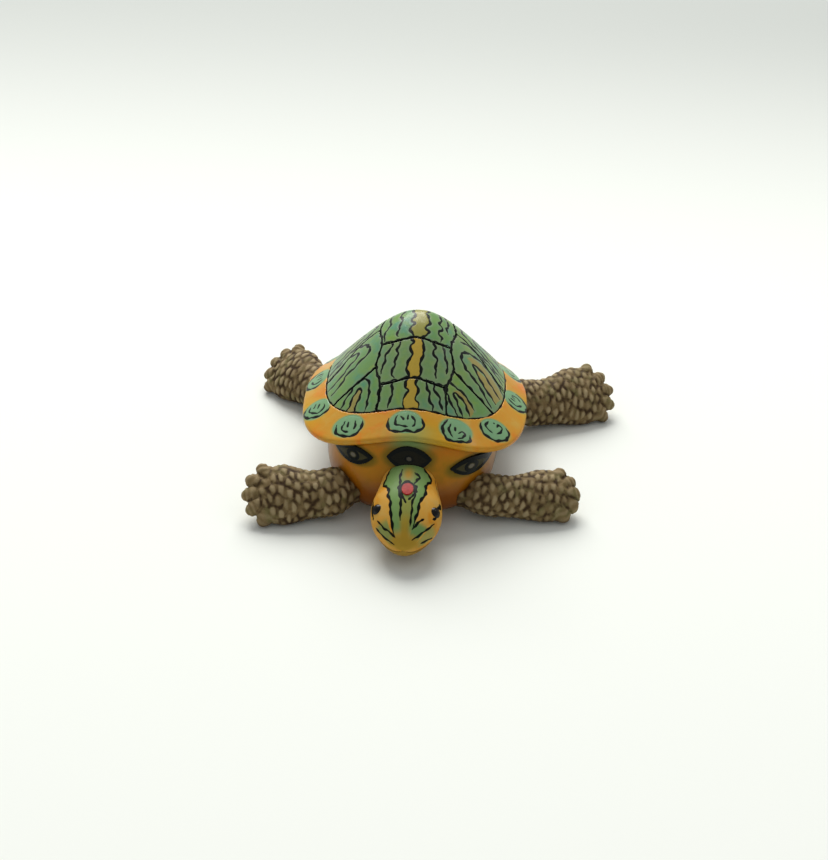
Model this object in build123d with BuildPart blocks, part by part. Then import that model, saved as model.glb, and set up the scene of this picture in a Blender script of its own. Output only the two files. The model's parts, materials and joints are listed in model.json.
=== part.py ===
from build123d import *
from math import atan2, cos, exp, hypot, pi, radians, sin, sqrt
import os

# A glazed ceramic turtle with a domed shell, four scaled legs and a short tail.
# Millimetres. +Z is up, the head points to -Y, and the turtle's own left side is +X.

# Shell outlines seen from above, measured from the middle of the shell
rim_half_width = 28.2
rim_front_reach = 31.0
rim_rear_reach = 26.0
dome_half_width = 22.2
dome_front_reach = 23.3
dome_rear_reach = 20.5
front_squareness = 2.9
rear_squareness = 2.3
outline_points = 28
body_outline_points = 16
collar_sections = 13
surface_columns = 15
surface_rows = 17

# Shell heights above the ground
rim_edge_height = 15.0
rim_front_lift = 6.4
rim_rear_lift = 1.2
dome_foot_height = 19.8
dome_lift_share = 0.8
apex_height = 37.6
apex_setback = 2.0
dome_roundness_share = 0.4
lift_spread = 0.62
deck_height = 16.9

# Thicknesses of the shell and its coats of glaze
lip_radius = 0.9
glaze_thickness = 0.7
carapace_wall = 3.2
seam_width = 0.4
spot_relief = 0.4
eye_spot_relief = 0.45

# Body below the shell
body_half_width = 21.3
body_front_reach = 35.0
body_rear_reach = 25.5
body_height = 22.0
body_wall = 3.2
belly_floor = 3.0
vent_diameter = 4.0
vent_setback = 9.0

# Head
head_length = 20.6
head_half_width = 8.3
head_half_height = 5.6
head_height = 8.0
head_rise = 2.8
head_root_reach = 32.8
head_side_shift = 0.5
eye_radius = 1.6
eye_sink = 2.1
eye_setback = 8.6
eye_rise = 1.9
crown_spot_length = 3.6
crown_spot_width = 2.7
crown_spot_setback = 11.8
crown_spot_relief = 0.35

# Dark eye-shaped spots on the chest
chest_spot_length = 10.8
chest_spot_height = 5.0
side_spot_length = 10.0
side_spot_height = 3.7
side_spot_tilt = -6.0

# Green spots on the rim
rim_spot_length = 7.8
front_spot_length = 9.0
front_spot_bearing = -2.5
rim_spot_width = 5.8
rim_spot_band_share = 0.47
left_spot_bearings = (24, 46, 80, 116, 150)
right_spot_bearings = (33, 61, 93, 126, 156)

# Legs, which all taper and tilt alike but each lie their own way
shoulder_half_spread = 9.0
shoulder_reach = 30.5
hip_half_spread = 18.0
hip_setback = 10.6
left_foreleg_half_breadth = 7.3
right_foreleg_half_breadth = 8.4
left_hindleg_half_breadth = 9.0
right_hindleg_half_breadth = 8.4
leg_half_thickness = 4.4
leg_tilt = 36.0
left_foreleg_reach = 28.8
right_foreleg_reach = 25.0
left_hindleg_reach = 30.8
right_hindleg_reach = 25.6
left_foreleg_sweep = 8.5
right_foreleg_sweep = -8.0
left_hindleg_sweep = 24.0
right_hindleg_sweep = 43.0
toe_radius = 2.5
toe_tip_radius = 0.75
toe_fan = 58.0

# Tail
tail_length = 9.5
tail_radius = 3.6
tail_tip_radius = 0.8
tail_height = 5.2
tail_droop = 12.0
tail_swing = 8.0

# One overrun for every cut
overrun = 1.5


# Shell outlines and surfaces

def outline_point(bearing, half_width, front, rear):
    """One point of an outline that is square-shouldered in front and rounder behind."""
    across, ahead = sin(bearing), cos(bearing)
    power = front_squareness if ahead > 0 else rear_squareness
    reach = front if ahead > 0 else rear
    span = (abs(across) ** power + abs(ahead) ** power) ** (1 / power)
    return Vector(half_width * across / span, -reach * ahead / span)


def outline(half_width, front, rear, many=outline_points):
    """Points all round such an outline, for a closed spline."""
    bearings = [2 * pi * step / many for step in range(many)]
    return [outline_point(bearing, half_width, front, rear) for bearing in bearings]


def rim_point(bearing, band_share):
    """A place on the rim, from the foot of the dome at share 0 to the lip at share 1."""
    inner = outline_point(bearing, dome_half_width, dome_front_reach, dome_rear_reach)
    outer = outline_point(bearing, rim_half_width, rim_front_reach, rim_rear_reach)
    return inner + (outer - inner) * band_share


def lift(x, y):
    """How far the shell's edge sweeps up, most over the neck and a little over the tail."""
    reach = dome_front_reach if y < 0 else dome_rear_reach
    bearing = abs(atan2(x / dome_half_width, -y / reach))
    front = rim_front_lift * exp(-((bearing / lift_spread) ** 2))
    rear = rim_rear_lift * exp(-(((pi - bearing) / lift_spread) ** 2))
    return front + rear


def dome_height(x, y):
    """Height of the domed carapace, which is round on top and nearly straight below."""
    power = front_squareness if y < apex_setback else rear_squareness
    reach = dome_front_reach + apex_setback if y < apex_setback else dome_rear_reach - apex_setback
    out = (abs(x / dome_half_width) ** power + abs((y - apex_setback) / reach) ** power) ** (1 / power)
    foot = dome_foot_height + dome_lift_share * lift(x, y)
    rounding = dome_roundness_share
    fall_share = (sqrt(out ** 2 + rounding ** 2) - rounding) / (sqrt(1 + rounding ** 2) - rounding)
    return apex_height - (apex_height - foot) * fall_share


def dome_surface(depth):
    """A smooth face over the whole shell, at one depth below the finished dome."""
    width = 2 * rim_half_width
    length = rim_front_reach + rim_rear_reach
    rows = []
    for row in range(surface_rows):
        y = length * row / (surface_rows - 1) - rim_front_reach
        places = [width * column / (surface_columns - 1) - rim_half_width for column in range(surface_columns)]
        rows.append([Vector(x, y, dome_height(x, y) - depth) for x in places])
    return Face.make_surface_from_array_of_points(rows)


def space_below(face):
    """The space that a face passes through when it sinks straight down."""
    return Solid.extrude(face, Vector(0, 0, -apex_height))


glaze_space = space_below(dome_surface(0))
biscuit_space = space_below(dome_surface(glaze_thickness))
vault_space = space_below(dome_surface(glaze_thickness + carapace_wall))

dome_points = outline(dome_half_width, dome_front_reach, dome_rear_reach)
vault_points = outline(dome_half_width - carapace_wall, dome_front_reach - carapace_wall,
                       dome_rear_reach - carapace_wall)
tile_points = outline(dome_half_width - seam_width / 2, dome_front_reach - seam_width / 2,
                      dome_rear_reach - seam_width / 2)

# Column under the dome, which the rim, the body and the scutes are cut to
with BuildPart() as dome_column:
    with BuildSketch(Plane.XY.offset(deck_height)):
        with BuildLine():
            Spline(*dome_points, periodic=True)
        make_face()
    extrude(amount=apex_height)

# Rim: the flared collar round the foot of the dome, with a rounded lip
with BuildPart() as shell_rim:
    for step in range(collar_sections):
        bearing = pi * step / (collar_sections - 1)
        inner = rim_point(bearing, 0)
        outer = rim_point(bearing, 1)
        outward = (outer - inner).normalized()
        rise = lift(inner.X, inner.Y)
        foot = Vector(0, dome_foot_height + dome_lift_share * rise)
        edge = Vector((outer - inner).length, rim_edge_height + rise)
        along = (edge - foot).normalized()
        up = Vector(-along.Y, along.X)
        lip_top = edge - along * lip_radius
        lip_middle = edge - up * lip_radius
        lip_bottom = lip_top - up * 2 * lip_radius
        root_top = foot - along * overrun
        root_bottom = root_top - up * 2 * lip_radius
        with BuildSketch(Plane(origin=inner, x_dir=outward, z_dir=outward.cross(Vector(0, 0, 1)))):
            with BuildLine():
                Polyline(lip_bottom, root_bottom, root_top, lip_top)
                ThreePointArc(lip_top, lip_middle, lip_bottom)
            make_face()
    loft()
    mirror(about=Plane.YZ)
    add(dome_column.part, mode=Mode.SUBTRACT)

# Carapace: the hollow dome that carries the glazed scutes
with BuildPart() as vault:
    with BuildSketch(Plane.XY.offset(deck_height)):
        with BuildLine():
            Spline(*vault_points, periodic=True)
        make_face()
    extrude(amount=apex_height)
    add(vault_space, mode=Mode.INTERSECT)

with BuildPart() as carapace:
    add(dome_column.part)
    add(biscuit_space, mode=Mode.INTERSECT)
    add(vault.part, mode=Mode.SUBTRACT)

# Scutes: one coat of green glaze over the dome, parted by seams into thirteen fields
# Each seam is a line of places, as shares of the dome's half width and of its front or rear reach.
def dome_place(across_share, along_share):
    reach = dome_front_reach if along_share < 0 else dome_rear_reach
    return (across_share * dome_half_width, along_share * reach)


cross_seam_shares = (
    ((-0.36, -0.71), (-0.18, -0.72), (0, -0.70), (0.18, -0.72), (0.36, -0.71)),
    ((-0.38, -0.26), (-0.20, -0.29), (0, -0.28), (0.20, -0.29), (0.38, -0.26)),
    ((-0.36, 0.36), (-0.18, 0.39), (0, 0.38), (0.18, 0.39), (0.36, 0.36)),
    ((-0.25, 0.72), (-0.12, 0.75), (0, 0.74), (0.12, 0.75), (0.25, 0.72)),
)
side_seam_shares = (
    (0.39, -1.10), (0.36, -0.84), (0.36, -0.71), (0.42, -0.50), (0.38, -0.26), (0.42, 0.04),
    (0.36, 0.36), (0.34, 0.55), (0.25, 0.72), (0.36, 0.88), (0.46, 1.10),
)
costal_seam_shares = (
    ((0.42, -0.50), (0.57, -0.57), (0.73, -0.62), (0.98, -0.72)),
    ((0.42, 0.04), (0.63, 0.03), (0.83, -0.10), (1.10, -0.22)),
    ((0.34, 0.55), (0.55, 0.56), (0.76, 0.48), (1.05, 0.42)),
)

with BuildPart() as seams:
    for shares in cross_seam_shares:
        with BuildSketch(Plane.XY.offset(deck_height)):
            with BuildLine():
                Spline(*[dome_place(*place) for place in shares])
            trace(line_width=seam_width)
    for side in (-1, 1):
        with BuildSketch(Plane.XY.offset(deck_height)):
            with BuildLine():
                Spline(*[dome_place(side * across, along) for across, along in side_seam_shares])
            trace(line_width=seam_width)
        for shares in costal_seam_shares:
            with BuildSketch(Plane.XY.offset(deck_height)):
                with BuildLine():
                    Spline(*[dome_place(side * across, along) for across, along in shares])
                trace(line_width=seam_width)
    extrude(amount=apex_height)

with BuildPart() as glaze_coat:
    with BuildSketch(Plane.XY.offset(deck_height)):
        with BuildLine():
            Spline(*tile_points, periodic=True)
        make_face()
    extrude(amount=apex_height)
    add(glaze_space, mode=Mode.INTERSECT)
    add(biscuit_space, mode=Mode.SUBTRACT)
    add(seams.part, mode=Mode.SUBTRACT)

vertebral_centre_shares = (-0.86, -0.48, 0.05, 0.56, 0.88)
costal_centre_shares = ((0.66, -0.76), (0.66, -0.30), (0.66, 0.28), (0.52, 0.74))
scute_centres = {}
for number, along in enumerate(vertebral_centre_shares, start=1):
    scute_centres[f"vertebral_scute_{number}"] = dome_place(0, along)
for side, side_name in ((1, "left"), (-1, "right")):
    for number, (across, along) in enumerate(costal_centre_shares, start=1):
        scute_centres[f"costal_scute_{side_name}_{number}"] = dome_place(side * across, along)


def nearest_field(place):
    """The field of glaze whose middle lies nearest to a place on the dome."""
    spot = Vector(place[0], place[1], dome_height(*place) - glaze_thickness / 2)
    return min(glaze_fields, key=lambda field: (field.center() - spot).length)


glaze_fields = glaze_coat.part.solids()
scutes = {name: nearest_field(place) for name, place in scute_centres.items()}


# Body: the hollow lower casting, as level outlines given in shares of its largest sizes
# height share, half width share, front reach share, rear reach share
body_section_shares = (
    (0, 0.80, 0.83, 0.82),
    (0.14, 0.93, 0.95, 0.94),
    (0.36, 1.00, 1.00, 1.00),
    (0.59, 1.00, 0.96, 0.98),
    (0.77, 0.98, 0.90, 0.92),
    (1, 0.94, 0.83, 0.82),
)


def body_outlines(growth):
    """The body's level outlines, each grown by one distance."""
    sections = []
    for height, width, front, rear in body_section_shares:
        points = outline(body_half_width * width + growth, body_front_reach * front + growth,
                         body_rear_reach * rear + growth, body_outline_points)
        sections.append((body_height * height, points))
    return sections


with BuildPart() as body_form:
    for level, points in body_outlines(0):
        with BuildSketch(Plane.XY.offset(level)):
            with BuildLine():
                Spline(*points, periodic=True)
            make_face()
    loft()

with BuildPart() as body_glaze_form:
    for level, points in body_outlines(eye_spot_relief):
        with BuildSketch(Plane.XY.offset(level)):
            with BuildLine():
                Spline(*points, periodic=True)
            make_face()
    loft()

with BuildPart() as body_hollow:
    for level, points in body_outlines(-body_wall):
        with BuildSketch(Plane.XY.offset(level)):
            with BuildLine():
                Spline(*points, periodic=True)
            make_face()
    loft()
    split(bisect_by=Plane.XY.offset(belly_floor), keep=Keep.TOP)
    split(bisect_by=Plane.XY.offset(deck_height - body_wall), keep=Keep.BOTTOM)

with BuildPart() as body:
    add(body_form.part)
    add(dome_column.part, mode=Mode.SUBTRACT)
    add(shell_rim.part, mode=Mode.SUBTRACT)
    add(body_hollow.part, mode=Mode.SUBTRACT)
    with BuildSketch(Plane.XY.offset(belly_floor)):
        with BuildLine():
            Spline(*vault_points, periodic=True)
        make_face()
    extrude(amount=deck_height, mode=Mode.SUBTRACT)
    with Locations((0, vent_setback, belly_floor)):
        Hole(radius=vent_diameter / 2, depth=belly_floor + overrun)
    add(body.solids().sort_by(SortBy.VOLUME)[-1], mode=Mode.REPLACE)

# Green spots on the rim, each a low pad of glaze
rim_spots = {}
for side, side_name, bearings in ((1, "left", left_spot_bearings), (-1, "right", right_spot_bearings)):
    for number, bearing in enumerate(bearings, start=1):
        rim_spots[f"rim_spot_{side_name}_{number}"] = side * radians(bearing)
rim_spots["rim_spot_front"] = radians(front_spot_bearing)
rim_spots["rim_spot_rear"] = pi

with BuildPart() as spot_layer:
    add(Pos(0, 0, spot_relief) * shell_rim.part)
    add(shell_rim.part, mode=Mode.SUBTRACT)

spot_pads = {}
for name, bearing in rim_spots.items():
    centre = rim_point(bearing, rim_spot_band_share)
    outward = (rim_point(bearing, 1) - rim_point(bearing, 0)).normalized()
    length = front_spot_length if name == "rim_spot_front" else rim_spot_length
    with BuildPart() as spot_pad:
        with BuildSketch(Plane(origin=centre, x_dir=outward.cross(Vector(0, 0, 1)), z_dir=(0, 0, 1))):
            Ellipse(length / 2, rim_spot_width / 2)
        extrude(amount=apex_height)
        add(spot_layer.part, mode=Mode.INTERSECT)
        add(spot_pad.solids().sort_by(SortBy.VOLUME)[-1], mode=Mode.REPLACE)
    spot_pads[name] = spot_pad.part

# Head: upright sections from the neck to the snout, as shares of the head's sizes
# way along, half width, half height, share of the rise kept by the middle line
head_section_shares = (
    (0, 0.78, 0.84, 0.95),
    (0.16, 0.84, 0.90, 0.68),
    (0.34, 0.95, 0.97, 0.34),
    (0.52, 1.00, 1.00, 0.02),
    (0.70, 0.90, 0.91, -0.36),
    (0.86, 0.62, 0.70, -0.72),
    (0.96, 0.34, 0.40, -0.96),
    (1.00, 0.12, 0.15, -1.03),
)


def head_planes(growth):
    """The head's upright sections, each with its half sizes grown by one distance."""
    sections = []
    for way, width, height, rise in head_section_shares:
        place = Vector(head_side_shift, -head_root_reach - head_length * way, head_height + head_rise * rise)
        plane = Plane(origin=place, x_dir=(1, 0, 0), z_dir=(0, -1, 0))
        sections.append((plane, head_half_width * width + growth, head_half_height * height + growth))
    return sections


with BuildPart() as head_form:
    for plane, half_width, half_height in head_planes(0):
        with BuildSketch(plane):
            Ellipse(half_width, half_height)
    loft()

with BuildPart() as head_glaze_form:
    for plane, half_width, half_height in head_planes(crown_spot_relief):
        with BuildSketch(plane):
            Ellipse(half_width, half_height)
    loft()

with BuildPart() as head:
    add(head_form.part)
    add(body_form.part, mode=Mode.SUBTRACT)
    add(shell_rim.part, mode=Mode.SUBTRACT)

with BuildPart() as crown_spot:
    with BuildSketch(Plane.XY.offset(head_height)):
        with Locations((head_side_shift, crown_spot_setback - head_root_reach - head_length)):
            Ellipse(crown_spot_width / 2, crown_spot_length / 2)
    extrude(amount=apex_height)
    add(head_glaze_form.part, mode=Mode.INTERSECT)
    add(head_form.part, mode=Mode.SUBTRACT)

eyes = {}
for side, name in ((1, "eye_left"), (-1, "eye_right")):
    place = Vector(head_side_shift + side * (head_half_width - eye_sink),
                   eye_setback - head_root_reach - head_length, head_height + eye_rise)
    with BuildPart() as eye:
        with BuildSketch(Plane(origin=place, x_dir=(0, 1, 0), z_dir=(side, 0, 0))):
            with BuildLine():
                ThreePointArc((-eye_radius, 0), (0, eye_radius), (eye_radius, 0))
                Line((eye_radius, 0), (-eye_radius, 0))
            make_face()
        revolve(axis=Axis(place, (0, 1, 0)))
        add(head_form.part, mode=Mode.SUBTRACT)
    eyes[name] = eye.part

# Dark eye-shaped spots: one over the neck and one on each side of the chest
chest_spot_shares = {
    "chest_spot_middle": (0.01, 0.75, 1, 1, 0),
    "chest_spot_left": (0.70, 0.62, side_spot_length / chest_spot_length,
                        side_spot_height / chest_spot_height, 1),
    "chest_spot_right": (-0.62, 0.70, side_spot_length / chest_spot_length,
                         side_spot_height / chest_spot_height, -1),
}
chest_spots = {}
for name, (across, height, length, breadth, lean) in chest_spot_shares.items():
    middle = Vector(body_half_width * across, -body_front_reach / 2, body_height * height)
    tilt = radians(side_spot_tilt * lean)
    half_length = chest_spot_length * length / 2
    half_height = chest_spot_height * breadth / 2
    with BuildPart() as chest_spot:
        with BuildSketch(Plane(origin=middle, x_dir=(cos(tilt), 0, sin(tilt)), z_dir=(0, -1, 0))):
            with BuildLine():
                ThreePointArc((-half_length, 0), (0, half_height), (half_length, 0))
                ThreePointArc((half_length, 0), (0, -half_height), (-half_length, 0))
            make_face()
        extrude(amount=body_front_reach)
        add(body_glaze_form.part, mode=Mode.INTERSECT)
        add(body_form.part, mode=Mode.SUBTRACT)
        add(shell_rim.part, mode=Mode.SUBTRACT)
        add(head_form.part, mode=Mode.SUBTRACT)
        add(chest_spot.solids().sort_by(SortBy.VOLUME)[-1], mode=Mode.REPLACE)
    chest_spots[name] = chest_spot.part

# Legs: tilted paddles whose sections are shares of each leg's own sizes
# way along, half breadth, half thickness, height as a share of the section's own lower half
leg_section_shares = (
    (0, 0.56, 0.90, 1.50),
    (0.28, 0.66, 1.02, 1.25),
    (0.50, 0.70, 1.02, 1.08),
    (0.70, 0.82, 0.96, 1.00),
    (0.86, 0.90, 0.86, 1.00),
    (0.96, 0.80, 0.74, 1.10),
    (1.05, 0.58, 0.58, 1.42),
    (1.12, 0.28, 0.38, 2.40),
)
toe_angle_shares = (-1, -0.5, 0, 0.5, 1)
# way along the toe, share of the change from root radius to tip radius
toe_section_shares = ((0, 0), (0.55, 0.18), (0.85, 0.55), (1, 1))
palm_thickness_share = 0.90
palm_height_share = 0.92
palm_share = 0.86
toe_root_share = 0.30
toe_reach_share = 1.10


def rest_height(half_breadth, thickness, height):
    """Height of a tilted section's middle, as a share of how far the section reaches down."""
    down = hypot(half_breadth * sin(radians(leg_tilt)), leg_half_thickness * thickness * cos(radians(leg_tilt)))
    return Vector(0, 0, down * height)


legs = {
    "foreleg_left": (1, shoulder_half_spread, -shoulder_reach, left_foreleg_half_breadth,
                     left_foreleg_reach, left_foreleg_sweep),
    "foreleg_right": (-1, shoulder_half_spread, -shoulder_reach, right_foreleg_half_breadth,
                      right_foreleg_reach, right_foreleg_sweep),
    "hindleg_left": (1, hip_half_spread, hip_setback, left_hindleg_half_breadth,
                     left_hindleg_reach, left_hindleg_sweep),
    "hindleg_right": (-1, hip_half_spread, hip_setback, right_hindleg_half_breadth,
                      right_hindleg_reach, right_hindleg_sweep),
}
leg_solids = {}
for name, (side, spread, along, half_breadth, reach, sweep) in legs.items():
    heading = Vector(side * cos(radians(sweep)), sin(radians(sweep)), 0)
    forward = Vector(side * sin(radians(sweep)), -cos(radians(sweep)), 0)
    broad = forward * cos(radians(leg_tilt)) - Vector(0, 0, sin(radians(leg_tilt)))
    root = Vector(side * spread, along, 0)
    with BuildPart() as leg:
        for way, breadth, thickness, height in leg_section_shares:
            middle = root + heading * reach * way + rest_height(half_breadth * breadth, thickness, height)
            with BuildSketch(Plane(origin=middle, x_dir=broad, z_dir=heading)):
                Ellipse(half_breadth * breadth, leg_half_thickness * thickness)
        loft()
        palm_rest = rest_height(half_breadth, palm_thickness_share, palm_height_share)
        palm = root + heading * reach * palm_share + palm_rest
        for angle_share in toe_angle_shares:
            angle = radians(toe_fan * angle_share)
            pointing = heading * cos(angle) + broad * sin(angle)
            toe_root = palm + pointing * half_breadth * toe_root_share
            toe_length = half_breadth * (toe_reach_share - toe_root_share)
            for way, change in toe_section_shares:
                toe_section_radius = toe_radius + (toe_tip_radius - toe_radius) * change
                with BuildSketch(Plane(origin=toe_root + pointing * toe_length * way, z_dir=pointing)):
                    Circle(toe_section_radius)
            loft()
        split(bisect_by=Plane.XY, keep=Keep.TOP)
        add(body_form.part, mode=Mode.SUBTRACT)
        add(shell_rim.part, mode=Mode.SUBTRACT)
        add(leg.solids().sort_by(SortBy.VOLUME)[-1], mode=Mode.REPLACE)
    leg_solids[name] = leg.part

# Tail
tail_direction = Vector(sin(radians(tail_swing)), cos(radians(tail_swing)), -sin(radians(tail_droop)))
tail_root = Vector(0, body_rear_reach - tail_radius, tail_height)
with BuildPart() as tail:
    with BuildSketch(Plane(origin=tail_root, z_dir=tail_direction)):
        Circle(tail_radius)
    with BuildSketch(Plane(origin=tail_root + tail_direction * tail_length, z_dir=tail_direction)):
        Circle(tail_tip_radius)
    loft()
    split(bisect_by=Plane.XY, keep=Keep.TOP)
    add(body_form.part, mode=Mode.SUBTRACT)

# Every piece by its name, moved so that the middle of the footprint is the origin
pieces = {"body": body.part, "carapace": carapace.part, "shell_rim": shell_rim.part}
pieces |= scutes | spot_pads | chest_spots
pieces |= {"head": head.part, "crown_spot": crown_spot.part} | eyes
pieces |= leg_solids | {"tail": tail.part}
whole = Compound(list(pieces.values())).bounding_box()
to_origin = Pos(-whole.center().X, -whole.center().Y, -whole.min.Z)

os.makedirs("parts", exist_ok=True)
for name, piece in pieces.items():
    placed = to_origin * piece
    placed.label = name
    export_step(placed, f"parts/{name}.step")
    print(name, "solids", len(placed.solids()), "volume", round(placed.volume, 2))
print("moved by", to_origin.position, "size", whole.size)
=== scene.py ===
"""A small glazed ceramic turtle: green painted dome, amber rim and head, scaled clay legs."""
from __future__ import annotations

import json
import logging
import math
import random
from dataclasses import dataclass, field
from enum import Enum
from typing import Iterable, Sequence

import bmesh
import bpy
import numpy as np
from mathutils import Matrix, Vector
from mathutils.bvhtree import BVHTree
from mathutils.kdtree import KDTree

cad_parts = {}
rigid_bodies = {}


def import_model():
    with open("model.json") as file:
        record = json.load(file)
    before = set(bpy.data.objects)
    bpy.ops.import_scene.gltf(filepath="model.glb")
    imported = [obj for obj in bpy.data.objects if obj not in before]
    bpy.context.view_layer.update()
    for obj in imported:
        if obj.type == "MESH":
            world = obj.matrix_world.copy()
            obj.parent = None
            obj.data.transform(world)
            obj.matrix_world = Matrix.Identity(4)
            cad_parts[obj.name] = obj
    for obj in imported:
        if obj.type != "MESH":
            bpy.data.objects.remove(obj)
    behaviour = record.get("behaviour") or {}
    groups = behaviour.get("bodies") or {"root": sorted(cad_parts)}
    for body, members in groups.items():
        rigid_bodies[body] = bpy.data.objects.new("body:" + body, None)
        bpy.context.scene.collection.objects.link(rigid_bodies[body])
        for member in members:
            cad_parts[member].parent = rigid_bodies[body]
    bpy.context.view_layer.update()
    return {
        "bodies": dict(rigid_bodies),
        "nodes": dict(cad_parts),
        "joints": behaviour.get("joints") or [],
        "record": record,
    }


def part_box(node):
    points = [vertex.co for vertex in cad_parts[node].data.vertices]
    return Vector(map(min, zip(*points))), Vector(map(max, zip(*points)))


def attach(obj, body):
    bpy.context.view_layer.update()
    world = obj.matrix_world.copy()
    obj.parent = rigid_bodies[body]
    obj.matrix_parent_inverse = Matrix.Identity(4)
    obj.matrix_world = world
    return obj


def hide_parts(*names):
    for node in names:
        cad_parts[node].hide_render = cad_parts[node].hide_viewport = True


MM = 0.001
LOG = logging.getLogger("turtle")
Place = tuple[float, float]
Colour = tuple[float, float, float, float]
Socket = bpy.types.NodeSocket
Material = bpy.types.Material
SRGB_KNEE, SRGB_SLOPE, SRGB_OFFSET, SRGB_POWER = 0.04045, 12.92, 0.055, 2.4
BRIGHTEST = 255


def tint(red: int, green: int, blue: int) -> Colour:
    """Turns a display colour into the linear colour that a shader takes.

    Args:
        red: Red from 0 to 255.
        green: Green from 0 to 255.
        blue: Blue from 0 to 255.

    Returns:
        The linear colour with full alpha.
    """
    def straight(channel: int) -> float:
        """One channel made linear.

        Args:
            channel: The channel as written, 0 to 255.

        Returns:
            The linear channel, 0 to 1.
        """
        level = channel / BRIGHTEST
        if level <= SRGB_KNEE:
            return level / SRGB_SLOPE
        return ((level + SRGB_OFFSET) / (1 + SRGB_OFFSET)) ** SRGB_POWER
    return (straight(red), straight(green), straight(blue), 1.0)


def ramp_up(values: np.ndarray, low: float, high: float) -> np.ndarray:
    """Rises smoothly from 0 at low to 1 at high, and may fall if high is below low."""
    share = np.clip((values - low) / (high - low), 0.0, 1.0)
    return share * share * (3.0 - 2.0 * share)


def bell(values: np.ndarray, middle: float, spread: float) -> np.ndarray:
    """A soft hump: 1 at the middle, falling away over the spread."""
    return np.exp(-((values - middle) / spread) ** 2)


def stand(name: str, data: bpy.types.ID) -> bpy.types.Object:
    """Puts a new object into the scene, at the origin and unturned.

    Args:
        name: The object's name.
        data: Its mesh, light or lens.

    Returns:
        The object.
    """
    thing = bpy.data.objects.new(name, data)
    bpy.context.scene.collection.objects.link(thing)
    return thing


class Slot(Enum):
    """The names of the record's finishes, passed along with the dressed pieces."""

    GREEN = "green_glaze"
    TEAL = "teal_glaze"
    DARK = "black_glaze"
    CLAY = "bisque"
    BODY = "body_glaze"
    RIM = "rim_glaze"
    HEAD = "head_glaze"


# ---------------------------------------------------------------- materials


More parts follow.
